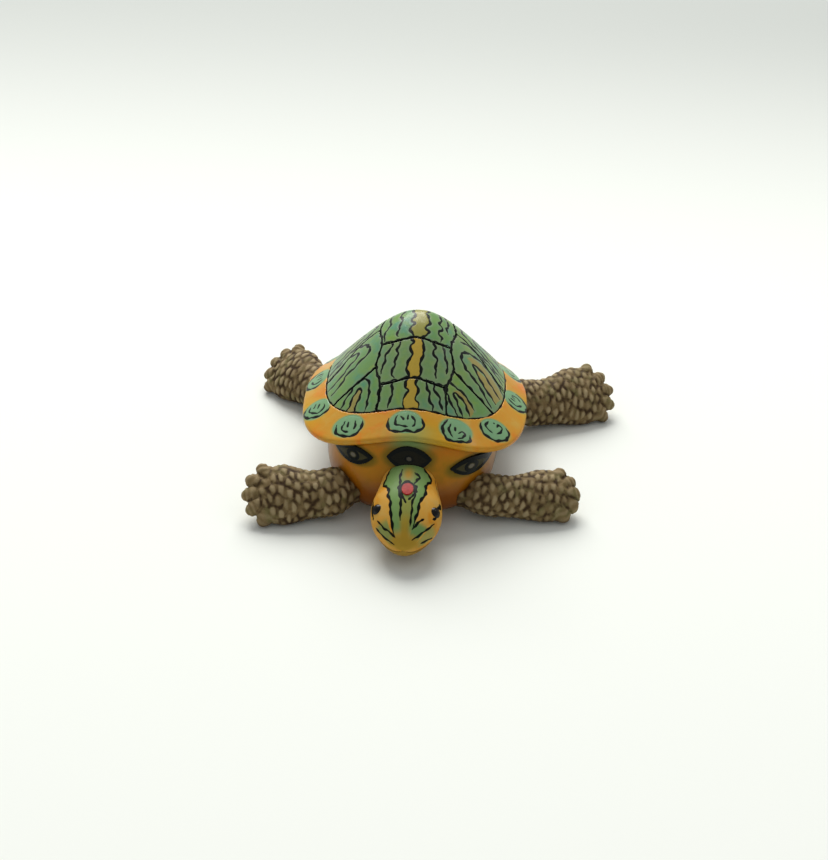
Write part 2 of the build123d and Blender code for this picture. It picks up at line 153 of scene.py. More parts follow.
class Bench:
    """The nodes of one material, laid out as they are asked for."""

    def __init__(self, name: str) -> None:
        """Starts a material with a plain shader and the piece's own coordinates.

        Args:
            name: The material's name.
        """
        self.material = bpy.data.materials.new(name)
        self.material.use_nodes = True
        self.tree = self.material.node_tree
        self.shader = self.tree.nodes["Principled BSDF"]
        self.place = self.node("ShaderNodeTexCoord").outputs["Object"]

    def node(self, kind: str) -> bpy.types.Node:
        """Adds one node."""
        return self.tree.nodes.new(kind)

    def link(self, source: Socket, target: Socket) -> None:
        """Joins two sockets."""
        self.tree.links.new(source, target)

    def noise(self, grain_mm: float, detail: float = 3.0, distortion: float = 0.0) -> Socket:
        """Adds soft noise whose features are about grain_mm across.

        Args:
            grain_mm: Size of the features, in millimetres.
            detail: How many finer layers lie on them.
            distortion: How far they are warped.

        Returns:
            The noise, about 0 to 1.
        """
        node = self.node("ShaderNodeTexNoise")
        node.inputs["Scale"].default_value = 1.0 / (grain_mm * MM)
        node.inputs["Detail"].default_value = detail
        node.inputs["Distortion"].default_value = distortion
        self.link(self.place, node.inputs["Vector"])
        return node.outputs["Fac"]

    def attribute(self, name: str) -> Socket:
        """Reads a number painted on the piece's points.

        Args:
            name: The number's name.

        Returns:
            The number.
        """
        node = self.node("ShaderNodeAttribute")
        node.attribute_name = name
        return node.outputs["Fac"]

    def band(self, source: Socket, low: float, high: float) -> Socket:
        """Rises from 0 at low to 1 at high, or falls if high is below low.

        Args:
            source: The number to read.
            low: Where the result is 0.
            high: Where the result is 1.

        Returns:
            The share, 0 to 1.
        """
        node = self.node("ShaderNodeMapRange")
        node.interpolation_type = "SMOOTHSTEP"
        self.link(source, node.inputs["Value"])
        backwards = high < low
        node.inputs["From Min"].default_value = high if backwards else low
        node.inputs["From Max"].default_value = low if backwards else high
        node.inputs["To Min"].default_value = 1.0 if backwards else 0.0
        node.inputs["To Max"].default_value = 0.0 if backwards else 1.0
        return node.outputs["Result"]

    def sum(self, first: Socket, second: Socket, share: float) -> Socket:
        """Adds share times second to first.

        Args:
            first: The first number.
            second: The number added to it.
            share: How much of it is added.

        Returns:
            The sum.
        """
        node = self.node("ShaderNodeMath")
        node.operation = "MULTIPLY_ADD"
        self.link(second, node.inputs[0])
        node.inputs[1].default_value = share
        self.link(first, node.inputs[2])
        return node.outputs[0]

    def times(self, first: Socket, second: Socket) -> Socket:
        """Multiplies two numbers.

        Args:
            first: One number.
            second: The other.

        Returns:
            Their product.
        """
        node = self.node("ShaderNodeMath")
        node.operation = "MULTIPLY"
        self.link(first, node.inputs[0])
        self.link(second, node.inputs[1])
        return node.outputs[0]

    def mix(self, share: Socket, first: Socket | Colour, second: Socket | Colour) -> Socket:
        """Mixes two colours, each a socket or a fixed colour.

        Args:
            share: How much of the second shows.
            first: The colour at share 0.
            second: The colour at share 1.

        Returns:
            The mixed colour.
        """
        node = self.node("ShaderNodeMix")
        node.data_type = "RGBA"
        self.link(share, node.inputs[0])
        for source, target in ((first, node.inputs[6]), (second, node.inputs[7])):
            if isinstance(source, tuple):
                target.default_value = source
            else:
                self.link(source, target)
        return node.outputs[2]

    def bump(self, height: Socket, depth_mm: float, under: Socket | None = None) -> Socket:
        """Tilts the surface by a height field that is depth_mm deep.

        Args:
            height: The height field, 0 to 1.
            depth_mm: Its depth, in millimetres.
            under: The tilt that it lies on, if there is one.

        Returns:
            The tilted normal.
        """
        node = self.node("ShaderNodeBump")
        node.inputs["Strength"].default_value = 1.0
        node.inputs["Distance"].default_value = depth_mm * MM
        self.link(height, node.inputs["Height"])
        if under is not None:
            self.link(under, node.inputs["Normal"])
        return node.outputs["Normal"]

    def finish(self, colour: Socket | Colour, roughness: float, coat: float = 0.0,
               coat_roughness: float = 0.1, specular: float = 0.5) -> Material:
        """Sets the shader's colour and gloss.

        Args:
            colour: The base colour.
            roughness: Roughness under any coat.
            coat: Weight of the clear top layer.
            coat_roughness: Roughness of the clear top layer.
            specular: Level of the plain reflection.

        Returns:
            The finished material.
        """
        if isinstance(colour, tuple):
            self.shader.inputs["Base Color"].default_value = colour
        else:
            self.link(colour, self.shader.inputs["Base Color"])
        self.shader.inputs["Roughness"].default_value = roughness
        self.shader.inputs["Specular IOR Level"].default_value = specular
        self.shader.inputs["Coat Weight"].default_value = coat
        self.shader.inputs["Coat Roughness"].default_value = coat_roughness
        return self.material


INK = tint(6, 12, 8)
INK_LINE = "ink"


@dataclass(frozen=True)
class PaintedGlaze:
    """A brushed enamel whose colours follow the numbers painted on its points."""

    name: str
    base: Colour
    cool: Colour
    warm: Colour
    washes: tuple[tuple[str, Colour], ...] = ()
    blot_mm: float = 5.0
    roughness: float = 0.30
    coat: float = 0.05
    coat_roughness: float = 0.12
    specular: float = 0.14
    streak_share: float = 0.22
    streak_strength: float = 0.25
    middle_tone: float = 0.62
    coolest_tone: float = 0.42
    warmest_tone: float = 0.84
    ink_border_mm: float = 0.05
    ink_edge_mm: float = 0.06
    feather_mm: float = 0.10
    feather_grain_mm: float = 0.55
    ripple_grain_mm: float = 1.6
    ripple_mm: float = 0.05
    line_hollow_mm: float = 0.03

    def make(self) -> Material:
        """Builds the material: blotched base, washes in order, and ink lines on top.

        Returns:
            The material.
        """
        bench = Bench(self.name)
        blots = bench.noise(self.blot_mm, 2.5, 0.4)
        streaks = bench.noise(self.blot_mm * self.streak_share, 3.0, 0.2)
        mottled = bench.sum(blots, streaks, self.streak_strength)
        cool = bench.band(mottled, self.middle_tone, self.coolest_tone)
        warm = bench.band(mottled, self.middle_tone, self.warmest_tone)
        colour = bench.mix(warm, bench.mix(cool, self.base, self.cool), self.warm)
        for name, wash in self.washes:
            colour = bench.mix(bench.attribute(name), colour, wash)
        ink = bench.attribute(INK_LINE)
        feathered = bench.sum(ink, bench.noise(self.feather_grain_mm, 2.0), self.feather_mm)
        line = bench.band(feathered, self.ink_border_mm + self.ink_edge_mm,
                          self.ink_border_mm - self.ink_edge_mm)
        colour = bench.mix(line, colour, INK)
        soft = bench.bump(bench.noise(self.ripple_grain_mm, 2.0), self.ripple_mm)
        hollow = bench.bump(bench.band(ink, -0.15, 0.30), self.line_hollow_mm, soft)
        bench.link(hollow, bench.shader.inputs["Normal"])
        return bench.finish(colour, self.roughness, self.coat, self.coat_roughness, self.specular)


@dataclass(frozen=True)
class ScaledClay:
    """Unglazed brown clay with dark crevices, worn crests, and painted shade low down and at the leg roots."""

    name: str = "scaled_clay"
    crest: Colour = tint(164, 146, 110)
    middle: Colour = tint(124, 104, 68)
    # Stain in the scales' crevices, and painted shade in the grooves between the toes.
    crevice_stain_and_shade: Colour = tint(60, 41, 17)
    green: Colour = tint(112, 104, 62)
    # Painted shade: the darkest brown, laid near the floor and where the legs go under the shell.
    painted_shade: Colour = tint(74, 56, 36)
    patch_grain_mm: float = 4.2
    fine_grain_mm: float = 0.35
    wash_grain_mm: float = 2.2
    lump_grain_mm: float = 1.1
    fine_mm: float = 0.06
    lump_mm: float = 0.10
    grain_strength: float = 0.35
    roughness: float = 0.72
    specular: float = 0.2

    def make(self) -> Material:
        """Builds the material from the numbers on the points: worn crests, stained crevices with painted shade
        in the grooves between the toes, and painted shade low down.

        Returns:
            The material.
        """
        bench = Bench(self.name)
        patches = bench.noise(self.patch_grain_mm, 3.0, 0.5)
        grain = bench.noise(self.fine_grain_mm, 4.0)
        crest = bench.sum(bench.attribute("crest"), grain, self.grain_strength)
        colour = bench.mix(bench.band(patches, 0.46, 0.70), self.middle, self.green)
        colour = bench.mix(bench.band(crest, 0.45, 1.25), colour, self.crest)
        wiped = bench.band(bench.noise(self.wash_grain_mm, 2.0, 0.6), 0.36, 0.62)
        # Stain in the crevices; between the toes this darkening is painted shade.
        crevice_stain_and_shade = bench.times(bench.band(bench.attribute("crevice_stain_and_shade"), 0.10, 0.95), wiped)
        colour = bench.mix(crevice_stain_and_shade, colour, self.crevice_stain_and_shade)
        # Painted shade near the floor and at the leg roots.
        colour = bench.mix(bench.attribute("painted_shade"), colour, self.painted_shade)
        rough = bench.bump(grain, self.fine_mm)
        rough = bench.bump(bench.noise(self.lump_grain_mm, 3.0), self.lump_mm, rough)
        bench.link(rough, bench.shader.inputs["Normal"])
        return bench.finish(colour, self.roughness, specular=self.specular)


@dataclass(frozen=True)
class PlainGlaze:
    """A small bead or field of one glaze, with a little depth in its colour."""

    name: str
    deep: Colour
    bright: Colour
    roughness: float = 0.15
    coat: float = 0.8
    coat_roughness: float = 0.06
    specular: float = 0.2
    cloud_grain_mm: float = 0.9
    cloud_mm: float = 0.03

    def make(self) -> Material:
        """Builds the material.

        Returns:
            The material.
        """
        bench = Bench(self.name)
        cloud = bench.noise(self.cloud_grain_mm, 3.0)
        colour = bench.mix(bench.band(cloud, 0.35, 0.70), self.deep, self.bright)
        bench.link(bench.bump(cloud, self.cloud_mm), bench.shader.inputs["Normal"])
        return bench.finish(colour, self.roughness, self.coat, self.coat_roughness, self.specular)


# ---------------------------------------------------------------- shapes and brushwork


@dataclass(frozen=True)
class ShellForm:
    """The shell's outlines and dome, in millimetres from the middle of the shell, head towards -Y."""

    rim_half_width: float = 28.2
    rim_front_reach: float = 31.0
    rim_rear_reach: float = 26.0
    dome_half_width: float = 22.2
    dome_front_reach: float = 23.3
    dome_rear_reach: float = 20.5
    front_squareness: float = 2.9
    rear_squareness: float = 2.3
    rim_front_lift: float = 6.4
    rim_rear_lift: float = 1.2
    dome_foot_height: float = 19.8
    dome_lift_share: float = 0.8
    apex_height: float = 37.6
    apex_setback: float = 2.0
    roundness: float = 0.4
    lift_spread: float = 0.62
    foot_waver: float = 0.08

    def outline_point(self, bearing: float, half_width: float, front: float, rear: float) -> Place:
        """One point of an outline.

        Args:
            bearing: Its bearing from the head, in radians.
            half_width: The outline's half width.
            front: The outline's reach towards the head.
            rear: The outline's reach towards the tail.

        Returns:
            The point.
        """
        across, ahead = math.sin(bearing), math.cos(bearing)
        power = self.front_squareness if ahead > 0 else self.rear_squareness
        reach = front if ahead > 0 else rear
        span = (abs(across) ** power + abs(ahead) ** power) ** (1 / power)
        return (half_width * across / span, -reach * ahead / span)

    def rim_point(self, bearing: float, share: float) -> Place:
        """A place on the rim, from the foot of the dome at share 0 to the lip at share 1.

        Args:
            bearing: Its bearing from the head, in radians.
            share: How far out it lies.

        Returns:
            The place.
        """
        inner = self.outline_point(bearing, self.dome_half_width, self.dome_front_reach,
                                   self.dome_rear_reach)
        outer = self.outline_point(bearing, self.rim_half_width, self.rim_front_reach, self.rim_rear_reach)
        return (inner[0] + (outer[0] - inner[0]) * share, inner[1] + (outer[1] - inner[1]) * share)

    def lift(self, x: np.ndarray, y: np.ndarray) -> np.ndarray:
        """How far the shell's edge sweeps up.

        Args:
            x: Places across.
            y: Places along.

        Returns:
            One height a place.
        """
        reach = np.where(y < 0, self.dome_front_reach, self.dome_rear_reach)
        bearing = np.abs(np.arctan2(x / self.dome_half_width, -y / reach))
        front = self.rim_front_lift * bell(bearing, 0.0, self.lift_spread)
        return front + self.rim_rear_lift * bell(bearing, np.pi, self.lift_spread)

    def dome_height(self, x: np.ndarray, y: np.ndarray) -> np.ndarray:
        """Height of the finished dome.

        Args:
            x: Places across.
            y: Places along.

        Returns:
            One height a place.
        """
        ahead = y < self.apex_setback
        power = np.where(ahead, self.front_squareness, self.rear_squareness)
        reach = np.where(ahead, self.dome_front_reach + self.apex_setback,
                         self.dome_rear_reach - self.apex_setback)
        across = np.abs(x / self.dome_half_width) ** power
        along = np.abs((y - self.apex_setback) / reach) ** power
        out = (across + along) ** (1 / power)
        foot = self.dome_foot_height + self.dome_lift_share * self.lift(x, y)
        rounding = self.roundness
        fall = (np.sqrt(out ** 2 + rounding ** 2) - rounding) / (math.sqrt(1 + rounding ** 2) - rounding)
        return self.apex_height - (self.apex_height - foot) * fall

    def dome_share(self, x: np.ndarray, y: np.ndarray) -> np.ndarray:
        """How far out a place lies: 1 on the dome's own outline.

        Args:
            x: Places across.
            y: Places along.

        Returns:
            One share a place.
        """
        power = np.where(y < 0, self.front_squareness, self.rear_squareness)
        reach = np.where(y < 0, self.dome_front_reach, self.dome_rear_reach)
        return (np.abs(x / self.dome_half_width) ** power + np.abs(y / reach) ** power) ** (1 / power)

    def foot_line(self, x: np.ndarray, y: np.ndarray, side: float, half_width: float) -> np.ndarray:
        """Distance from the wavering ink line round the foot of the dome.

        Args:
            x: Places across.
            y: Places along.
            side: 1 to measure inwards, -1 to measure outwards.
            half_width: Half the line's width.

        Returns:
            One distance a place, negative inside the line.
        """
        bearing = np.arctan2(x, -y)
        wave = np.sin(bearing * 31.0) + 0.7 * np.sin(bearing * 53.0 + 1.0)
        inwards = (1.0 - self.dome_share(x, y)) * self.dome_half_width
        return side * inwards - half_width - self.foot_waver * wave


@dataclass(frozen=True)
class Stroke:
    """One brush line through a few chosen places, in millimetres."""

    places: tuple[Place, ...]
    wobble: float = 0.26
    slow_wave: float = 2.15
    quick_wave: float = 4.1
    quick_share: float = 0.6
    quick_lead: float = 2.3
    calm_reach: float = 1.2

    def samples(self, step: float = 0.10) -> np.ndarray:
        """Walks the line.

        Args:
            step: Distance between samples.

        Returns:
            The line's points as rows of two coordinates.
        """
        points = [np.array(place, dtype=float) for place in self.places]
        guides = [2 * points[0] - points[1]] + points + [2 * points[-1] - points[-2]]
        walked = []
        for one, two, three, four in zip(guides, guides[1:], guides[2:], guides[3:]):
            count = max(2, int(np.linalg.norm(three - two) / step))
            for share in np.arange(count) / count:
                walked.append(0.5 * (2 * two + (three - one) * share
                                     + (2 * one - 5 * two + 4 * three - four) * share ** 2
                                     + (3 * two - one - 3 * three + four) * share ** 3))
        walked.append(points[-1])
        line = np.array(walked)
        travel = np.concatenate(([0.0], np.cumsum(np.linalg.norm(np.diff(line, axis=0), axis=1))))
        heading = np.gradient(line, axis=0)
        heading /= np.maximum(np.linalg.norm(heading, axis=1, keepdims=True), 1e-9)
        sideways = np.stack((-heading[:, 1], heading[:, 0]), axis=1)
        start = float(np.sum(points[0][:2]))
        quick = self.quick_share * np.sin(travel * self.quick_wave + self.quick_lead * start)
        wave = np.sin(travel * self.slow_wave + start) + quick
        fade = ramp_up(travel, 0.0, self.calm_reach) * ramp_up(travel[-1] - travel, 0.0, self.calm_reach)
        line[:, :2] += sideways * (self.wobble * wave * fade)[:, None]
        return line


class Brushwork:
    """Brush lines laid on a surface, and how far any point is from their edge."""

    THIN_END = 0.45
    TAPER_SHARE = 0.12
    SWELL = 0.28
    SWELL_RATE = 0.23
    SWELL_LEAD = 3.0

    def __init__(self) -> None:
        """Starts with no lines."""
        self.points: list[np.ndarray] = []
        self.widths: list[np.ndarray] = []
        self.tree: KDTree | None = None
        self.flat_widths: np.ndarray | None = None

    def lay(self, samples: np.ndarray, half_width: float) -> None:
        """Adds a walked line in space, thinner at its ends and uneven along its way.

        Args:
            samples: Points along the line, in millimetres.
            half_width: Half the line's width in its middle.
        """
        count = len(samples)
        way = np.linspace(0.0, 1.0, count)
        full = np.minimum(ramp_up(way, 0.0, self.TAPER_SHARE), ramp_up(1.0 - way, 0.0, self.TAPER_SHARE))
        ends = self.THIN_END + (1.0 - self.THIN_END) * full
        lead = samples[0, 0] * self.SWELL_LEAD
        uneven = 1.0 + self.SWELL * np.sin(np.arange(count) * self.SWELL_RATE + lead)
        self.points.append(samples)
        self.widths.append(half_width * ends * uneven)

    def settle(self) -> None:
        """Makes the lines ready to be measured from."""
        points = np.concatenate(self.points)
        self.flat_widths = np.concatenate(self.widths)
        self.tree = KDTree(len(points))
        for number, point in enumerate(points):
            self.tree.insert(point, number)
        self.tree.balance()

    def reach(self, points: np.ndarray) -> np.ndarray:
        """Measures how far points are from the lines.

        Args:
            points: The points.

        Returns:
            Each point's distance from the nearest line's edge, negative inside the line.
        """
        if self.tree is None:
            self.settle()
        found = np.empty(len(points))
        for number, point in enumerate(points):
            _, owner, distance = self.tree.find(point)
            found[number] = distance - self.flat_widths[owner]
        return found


def inside(points: np.ndarray, outline: np.ndarray) -> np.ndarray:
    """Tells which flat points lie inside a closed outline.

    Args:
        points: Points as rows of x and y.
        outline: The outline's corners as rows of x and y.

    Returns:
        One truth value a point.
    """
    x, y = points[:, 0], points[:, 1]
    odd = np.zeros(len(points), dtype=bool)
    for (x0, y0), (x1, y1) in zip(outline, np.roll(outline, -1, axis=0)):
        crosses = (y0 > y) != (y1 > y)
        if y1 != y0:
            odd ^= crosses & (x < (x1 - x0) * (y - y0) / (y1 - y0) + x0)
    return odd


def relax(shape: bmesh.types.BMesh, verts: Sequence[bmesh.types.BMVert], rounds: int) -> None:
    """Smooths some of a mesh's points for a number of rounds.

    Args:
        shape: The mesh.
        verts: The points to smooth.
        rounds: How many times.
    """
    for _ in range(rounds):
        bmesh.ops.smooth_vert(shape, verts=verts, factor=0.5,
                              use_axis_x=True, use_axis_y=True, use_axis_z=True)
    shape.normal_update()


class Workpiece:
    """A fine copy of one or more CAD nodes, worked in millimetres about the middle of the shell."""

    JOIN_REACH = 0.001 * MM

    def __init__(self, frame: dict, nodes: Sequence[str], name: str, voxel: float, smooth: int,
                 origin: Vector) -> None:
        """Copies the nodes, joins loose corners and gives the copy an even fine mesh.

        Args:
            frame: The loaded frame.
            nodes: The CAD nodes to copy.
            name: The new piece's name.
            voxel: Size of the even mesh, in millimetres.
            smooth: Rounds of smoothing.
            origin: The middle of the shell, in metres.
        """
        self.nodes = list(nodes)
        self.origin = np.array(origin) / MM
        shape = bmesh.new()
        for node in nodes:
            shape.from_mesh(frame["nodes"][node].data)
        bmesh.ops.remove_doubles(shape, verts=shape.verts, dist=self.JOIN_REACH)
        mesh = bpy.data.meshes.new(name)
        shape.to_mesh(mesh)
        shape.free()
        draft = stand(name, mesh)
        remesh = draft.modifiers.new("even", "REMESH")
        remesh.mode = "VOXEL"
        remesh.voxel_size = voxel * MM
        evened = bpy.data.meshes.new_from_object(draft.evaluated_get(bpy.context.evaluated_depsgraph_get()))
        bpy.data.objects.remove(draft)
        bpy.data.meshes.remove(mesh)
        shape = bmesh.new()
        shape.from_mesh(evened)
        relax(shape, shape.verts, smooth)
        shape.to_mesh(evened)
        shape.free()
        evened.name = name
        self.mesh = evened
        self.piece = stand(name, evened)

    def points(self) -> np.ndarray:
        """The piece's points in millimetres about the middle of the shell.

        Returns:
            One row a point.
        """
        flat = np.empty(len(self.mesh.vertices) * 3, dtype=np.float32)
        self.mesh.vertices.foreach_get("co", flat)
        return flat.reshape(-1, 3).astype(float) / MM - self.origin

    def normals(self) -> np.ndarray:
        """The outward direction at each point.

        Returns:
            One row a point.
        """
        flat = np.empty(len(self.mesh.vertices) * 3, dtype=np.float32)
        self.mesh.vertices.foreach_get("normal", flat)
        return flat.reshape(-1, 3).astype(float)

    def place(self, points: np.ndarray) -> None:
        """Moves the piece's points.

        Args:
            points: Their new places, one row a point.
        """
        flat = ((points + self.origin) * MM).astype(np.float32).reshape(-1)
        self.mesh.vertices.foreach_set("co", flat)
        self.mesh.update()

    def paint(self, name: str, values: np.ndarray) -> None:
        """Keeps one number a point under a name that the materials read."""
        store = self.mesh.attributes.get(name) or self.mesh.attributes.new(name, "FLOAT", "POINT")
        store.data.foreach_set("value", values.astype(np.float32))

    def surface(self) -> BVHTree:
        """The piece as a surface that lines can be dropped on.

        Returns:
            The surface.
        """
        corners = self.points()
        faces = [face.vertices[:] for face in self.mesh.polygons]
        return BVHTree.FromPolygons([Vector(corner) for corner in corners], faces)

    def soften(self, chosen: np.ndarray, rounds: int) -> None:
        """Smooths the chosen points.

        Args:
            chosen: One truth value a point.
            rounds: Rounds of smoothing.
        """
        shape = bmesh.new()
        shape.from_mesh(self.mesh)
        relax(shape, [vert for vert, wanted in zip(shape.verts, chosen) if wanted], rounds)
        shape.to_mesh(self.mesh)
        shape.free()

    def dress(self, material: Material, slot: Slot) -> bpy.types.Object:
        """Gives the piece its finish and its place in the model.

        Args:
            material: The finish.
            slot: The record's slot for the piece's finish; not used.

        Returns:
            The piece.
        """
        self.mesh.materials.clear()
        self.mesh.materials.append(material)
        self.mesh.shade_smooth()
        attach(self.piece, "root")
        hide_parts(*self.nodes)
        LOG.info("%s: %d points", self.piece.name, len(self.mesh.vertices))
        return self.piece


def drop(surface: BVHTree, samples: np.ndarray, height: float = 60.0) -> np.ndarray:
    """Lets a line fall straight down on a surface.

    Args:
        surface: The surface.
        samples: Rows of x and y.
        height: Where the fall starts.

    Returns:
        The points that landed, as rows of x, y and z.
    """
    landed = []
    for x, y in samples[:, :2]:
        found = surface.ray_cast(Vector((x, y, height)), Vector((0, 0, -1)))[0]
        if found is not None:
            landed.append(tuple(found))
    return np.array(landed)


def settle_on(surface: BVHTree, samples: np.ndarray) -> np.ndarray:
    """Moves each point of a line to the nearest place on a surface."""
    return np.array([tuple(surface.find_nearest(Vector(sample))[0]) for sample in samples])


# ---------------------------------------------------------------- sub-assemblies


@dataclass
class Dome:
    """Thirteen fields of green glaze with growth lines and a warm stripe down the back."""

    form: ShellForm
    voxel: float = 0.17
    stripe_half_width: float = 0.33
    line_half_width: float = 0.31
    flank_half_width: float = 0.42
    seam_half_width: float = 0.30
    stripe_left: tuple[Place, ...] = (
        (-1.8, -23.2), (-2.2, -21.6), (-1.8, -20.5), (-1.0, -19.5), (-1.8, -18.7), (-1.8, -17.7),
        (-1.4, -16.7), (-1.2, -15.9), (-1.8, -14.5), (-1.7, -12.9), (-0.8, -11.3), (-1.3, -9.2),
        (-0.7, -7.9), (-1.1, -7.1), (-0.7, -6.3), (-1.3, -5.4), (-1.7, -4.0), (-0.8, -2.4), (-1.6, -1.3),
        (-0.7, 0.8), (-1.5, 2.4), (-1.0, 4.5), (-1.6, 7.0), (-1.1, 10.0), (-1.7, 12.6), (-1.2, 15.0),
        (-1.5, 17.8), (-1.1, 20.2))
    stripe_right: tuple[Place, ...] = (
        (1.6, -23.2), (1.5, -21.9), (0.7, -21.1), (1.0, -20.1), (1.4, -18.9), (0.6, -18.1), (0.6, -17.2),
        (1.4, -15.9), (1.6, -14.2), (1.3, -12.7), (2.0, -10.9), (1.9, -10.1), (1.7, -7.8), (1.2, -6.6),
        (2.2, -5.8), (2.8, -4.6), (2.0, -3.5), (2.9, -1.7), (2.5, 0.3), (2.0, 2.0), (2.4, 3.4), (1.7, 5.2),
        (2.0, 7.2), (1.5, 9.6), (1.9, 12.0), (1.2, 14.6), (1.6, 17.5), (1.2, 20.2))
    back_lines: tuple[tuple[Place, ...], ...] = (
        ((-7.1, -17.0), (-8.0, -17.9), (-8.2, -19.0), (-7.8, -20.5), (-8.4, -21.7), (-8.5, -22.6)),
        ((-4.9, -16.7), (-5.1, -18.2), (-4.8, -20.0), (-5.5, -21.3), (-5.7, -22.7)),
        ((4.9, -16.6), (5.2, -18.4), (6.4, -19.6), (6.8, -21.1), (7.4, -22.2)),
        ((3.0, -16.4), (3.3, -18.3), (4.0, -19.0), (4.0, -20.8), (4.9, -21.7), (5.0, -23.0)),
        ((-6.0, -6.5), (-5.8, -8.1), (-6.7, -9.1), (-7.4, -9.8), (-7.1, -11.1), (-7.7, -12.1), (-8.0, -14.2)),
        ((-3.6, -6.5), (-4.0, -8.3), (-4.7, -9.2), (-4.1, -10.2), (-4.9, -11.9), (-4.6, -12.8),
         (-5.4, -14.1), (-5.2, -15.3), (-4.7, -16.1)),
        ((3.7, -6.5), (4.6, -8.1), (4.3, -9.8), (5.3, -11.3), (5.0, -13.3), (5.3, -15.5)),
        ((6.4, -7.1), (6.9, -8.4), (7.4, -10.4), (7.9, -11.8), (7.7, -13.5)),
        ((-4.5, -5.8), (-5.0, -4.9), (-4.3, -3.4), (-4.5, -2.4), (-3.8, -0.7), (-4.4, 1.4), (-3.6, 3.6),
         (-4.1, 5.4), (-3.4, 7.2)),
        ((-7.8, -5.6), (-7.9, -4.3), (-8.1, -2.8), (-7.3, -1.7), (-6.7, 0.4), (-7.0, 2.6), (-6.2, 4.6),
         (-6.3, 6.8)),
        ((5.8, -6.2), (6.1, -4.8), (5.1, -4.0), (6.0, -1.9), (5.2, -0.1), (5.6, 2.0), (4.8, 4.4), (4.3, 7.2)),
        ((7.5, -2.4), (7.0, -0.4), (7.4, 1.8), (6.5, 4.4), (6.6, 6.9)),
        ((-3.4, 8.2), (-4.1, 10.0), (-3.2, 12.0), (-3.8, 14.7)),
        ((3.6, 8.2), (4.2, 10.2), (3.3, 12.2), (3.9, 14.7)),
        ((-5.8, 8.2), (-6.3, 10.4), (-5.4, 12.4), (-5.1, 14.6)),
        ((5.8, 8.2), (6.3, 10.4), (5.4, 12.4), (5.1, 14.6)),
        ((-3.4, 15.4), (-4.0, 17.0), (-3.3, 18.4), (-3.9, 20.0)),
        ((3.4, 15.4), (4.0, 17.0), (3.3, 18.4), (3.9, 20.0)), ((-5.6, 15.8), (-6.3, 17.4), (-5.9, 19.2)),
        ((5.6, 15.8), (6.3, 17.4), (5.9, 19.2)))
    flank_lines: tuple[tuple[Place, ...], ...] = (
        ((-16.8, 1.0), (-14.8, 0.2), (-12.6, -1.9), (-11.7, -4.0), (-11.5, -6.0), (-12.6, -6.7),
         (-13.8, -7.1), (-14.6, -7.9), (-16.0, -8.2), (-17.1, -8.8), (-17.7, -10.1), (-18.6, -10.9),
         (-20.2, -11.8)),
        ((-17.4, -0.9), (-15.6, -1.9), (-14.4, -3.2), (-14.7, -4.7), (-16.1, -5.3), (-17.1, -6.3),
         (-17.9, -7.2), (-19.3, -8.1), (-21.2, -9.0)),
        ((-17.6, -2.4), (-18.8, -3.4), (-20.2, -4.2), (-21.6, -4.8)),
        ((-18.6, -0.7), (-20.2, -1.0), (-21.9, -1.9)),
        ((-17.6, -19.0), (-16.4, -16.6), (-15.2, -15.2), (-14.4, -13.9), (-13.1, -13.4), (-11.6, -14.0),
         (-10.6, -15.2), (-10.8, -16.4), (-10.4, -17.9), (-10.9, -19.4), (-10.7, -20.4), (-11.3, -22.0)),
        ((-16.2, -20.4), (-15.0, -18.6), (-14.5, -17.0), (-13.7, -16.0), (-13.0, -15.7), (-12.4, -16.6),
         (-12.8, -17.9), (-13.4, -19.1), (-13.8, -21.2)),
        ((18.9, -14.4), (16.8, -12.3), (15.8, -11.0), (14.5, -10.5), (13.3, -9.5), (12.2, -9.3),
         (11.8, -8.1), (11.0, -7.3), (11.1, -5.8), (11.8, -4.0), (13.2, -2.9), (14.9, -2.0), (16.4, -1.9),
         (18.0, -2.5), (19.6, -3.7), (21.7, -6.4)),
        ((19.9, -12.2), (17.8, -10.6), (16.5, -9.6), (15.3, -8.1), (14.3, -6.8), (14.1, -5.8), (15.4, -5.4),
         (16.9, -5.8), (18.1, -6.9), (19.4, -8.0), (20.9, -9.2)),
        ((10.6, -1.4), (12.0, -0.2), (13.9, 0.3), (15.8, 0.4), (17.7, 0.1), (19.6, -0.8), (21.4, -2.3)),
        ((10.9, -21.8), (9.4, -20.0), (8.3, -18.3), (7.5, -17.3), (7.6, -16.3), (8.5, -15.3), (9.8, -15.5),
         (11.3, -15.8), (13.0, -16.6), (13.9, -17.6), (14.9, -18.5)),
        ((12.2, -21.6), (11.2, -19.8), (10.4, -18.5), (9.7, -17.4), (10.5, -17.0), (11.8, -17.6),
         (12.9, -18.7), (13.9, -20.6)))
    rear_flank_lines: tuple[tuple[Place, ...], ...] = (
        ((21.6, -0.8), (17.6, 1.2), (13.6, 2.2), (10.8, 3.6), (10.7, 6.6), (12.8, 8.4), (16.6, 7.9),
         (20.9, 6.6)), ((21.7, 1.2), (17.4, 3.0), (14.1, 4.2), (13.5, 5.7), (15.3, 6.3), (21.3, 4.8)),
        ((18.7, 10.8), (14.6, 12.3), (10.6, 12.9), (8.9, 14.1), (9.5, 16.0), (12.4, 16.8), (15.2, 16.0)),
        ((17.6, 12.8), (13.8, 14.0), (11.6, 14.5), (11.9, 15.2), (16.0, 14.6)))
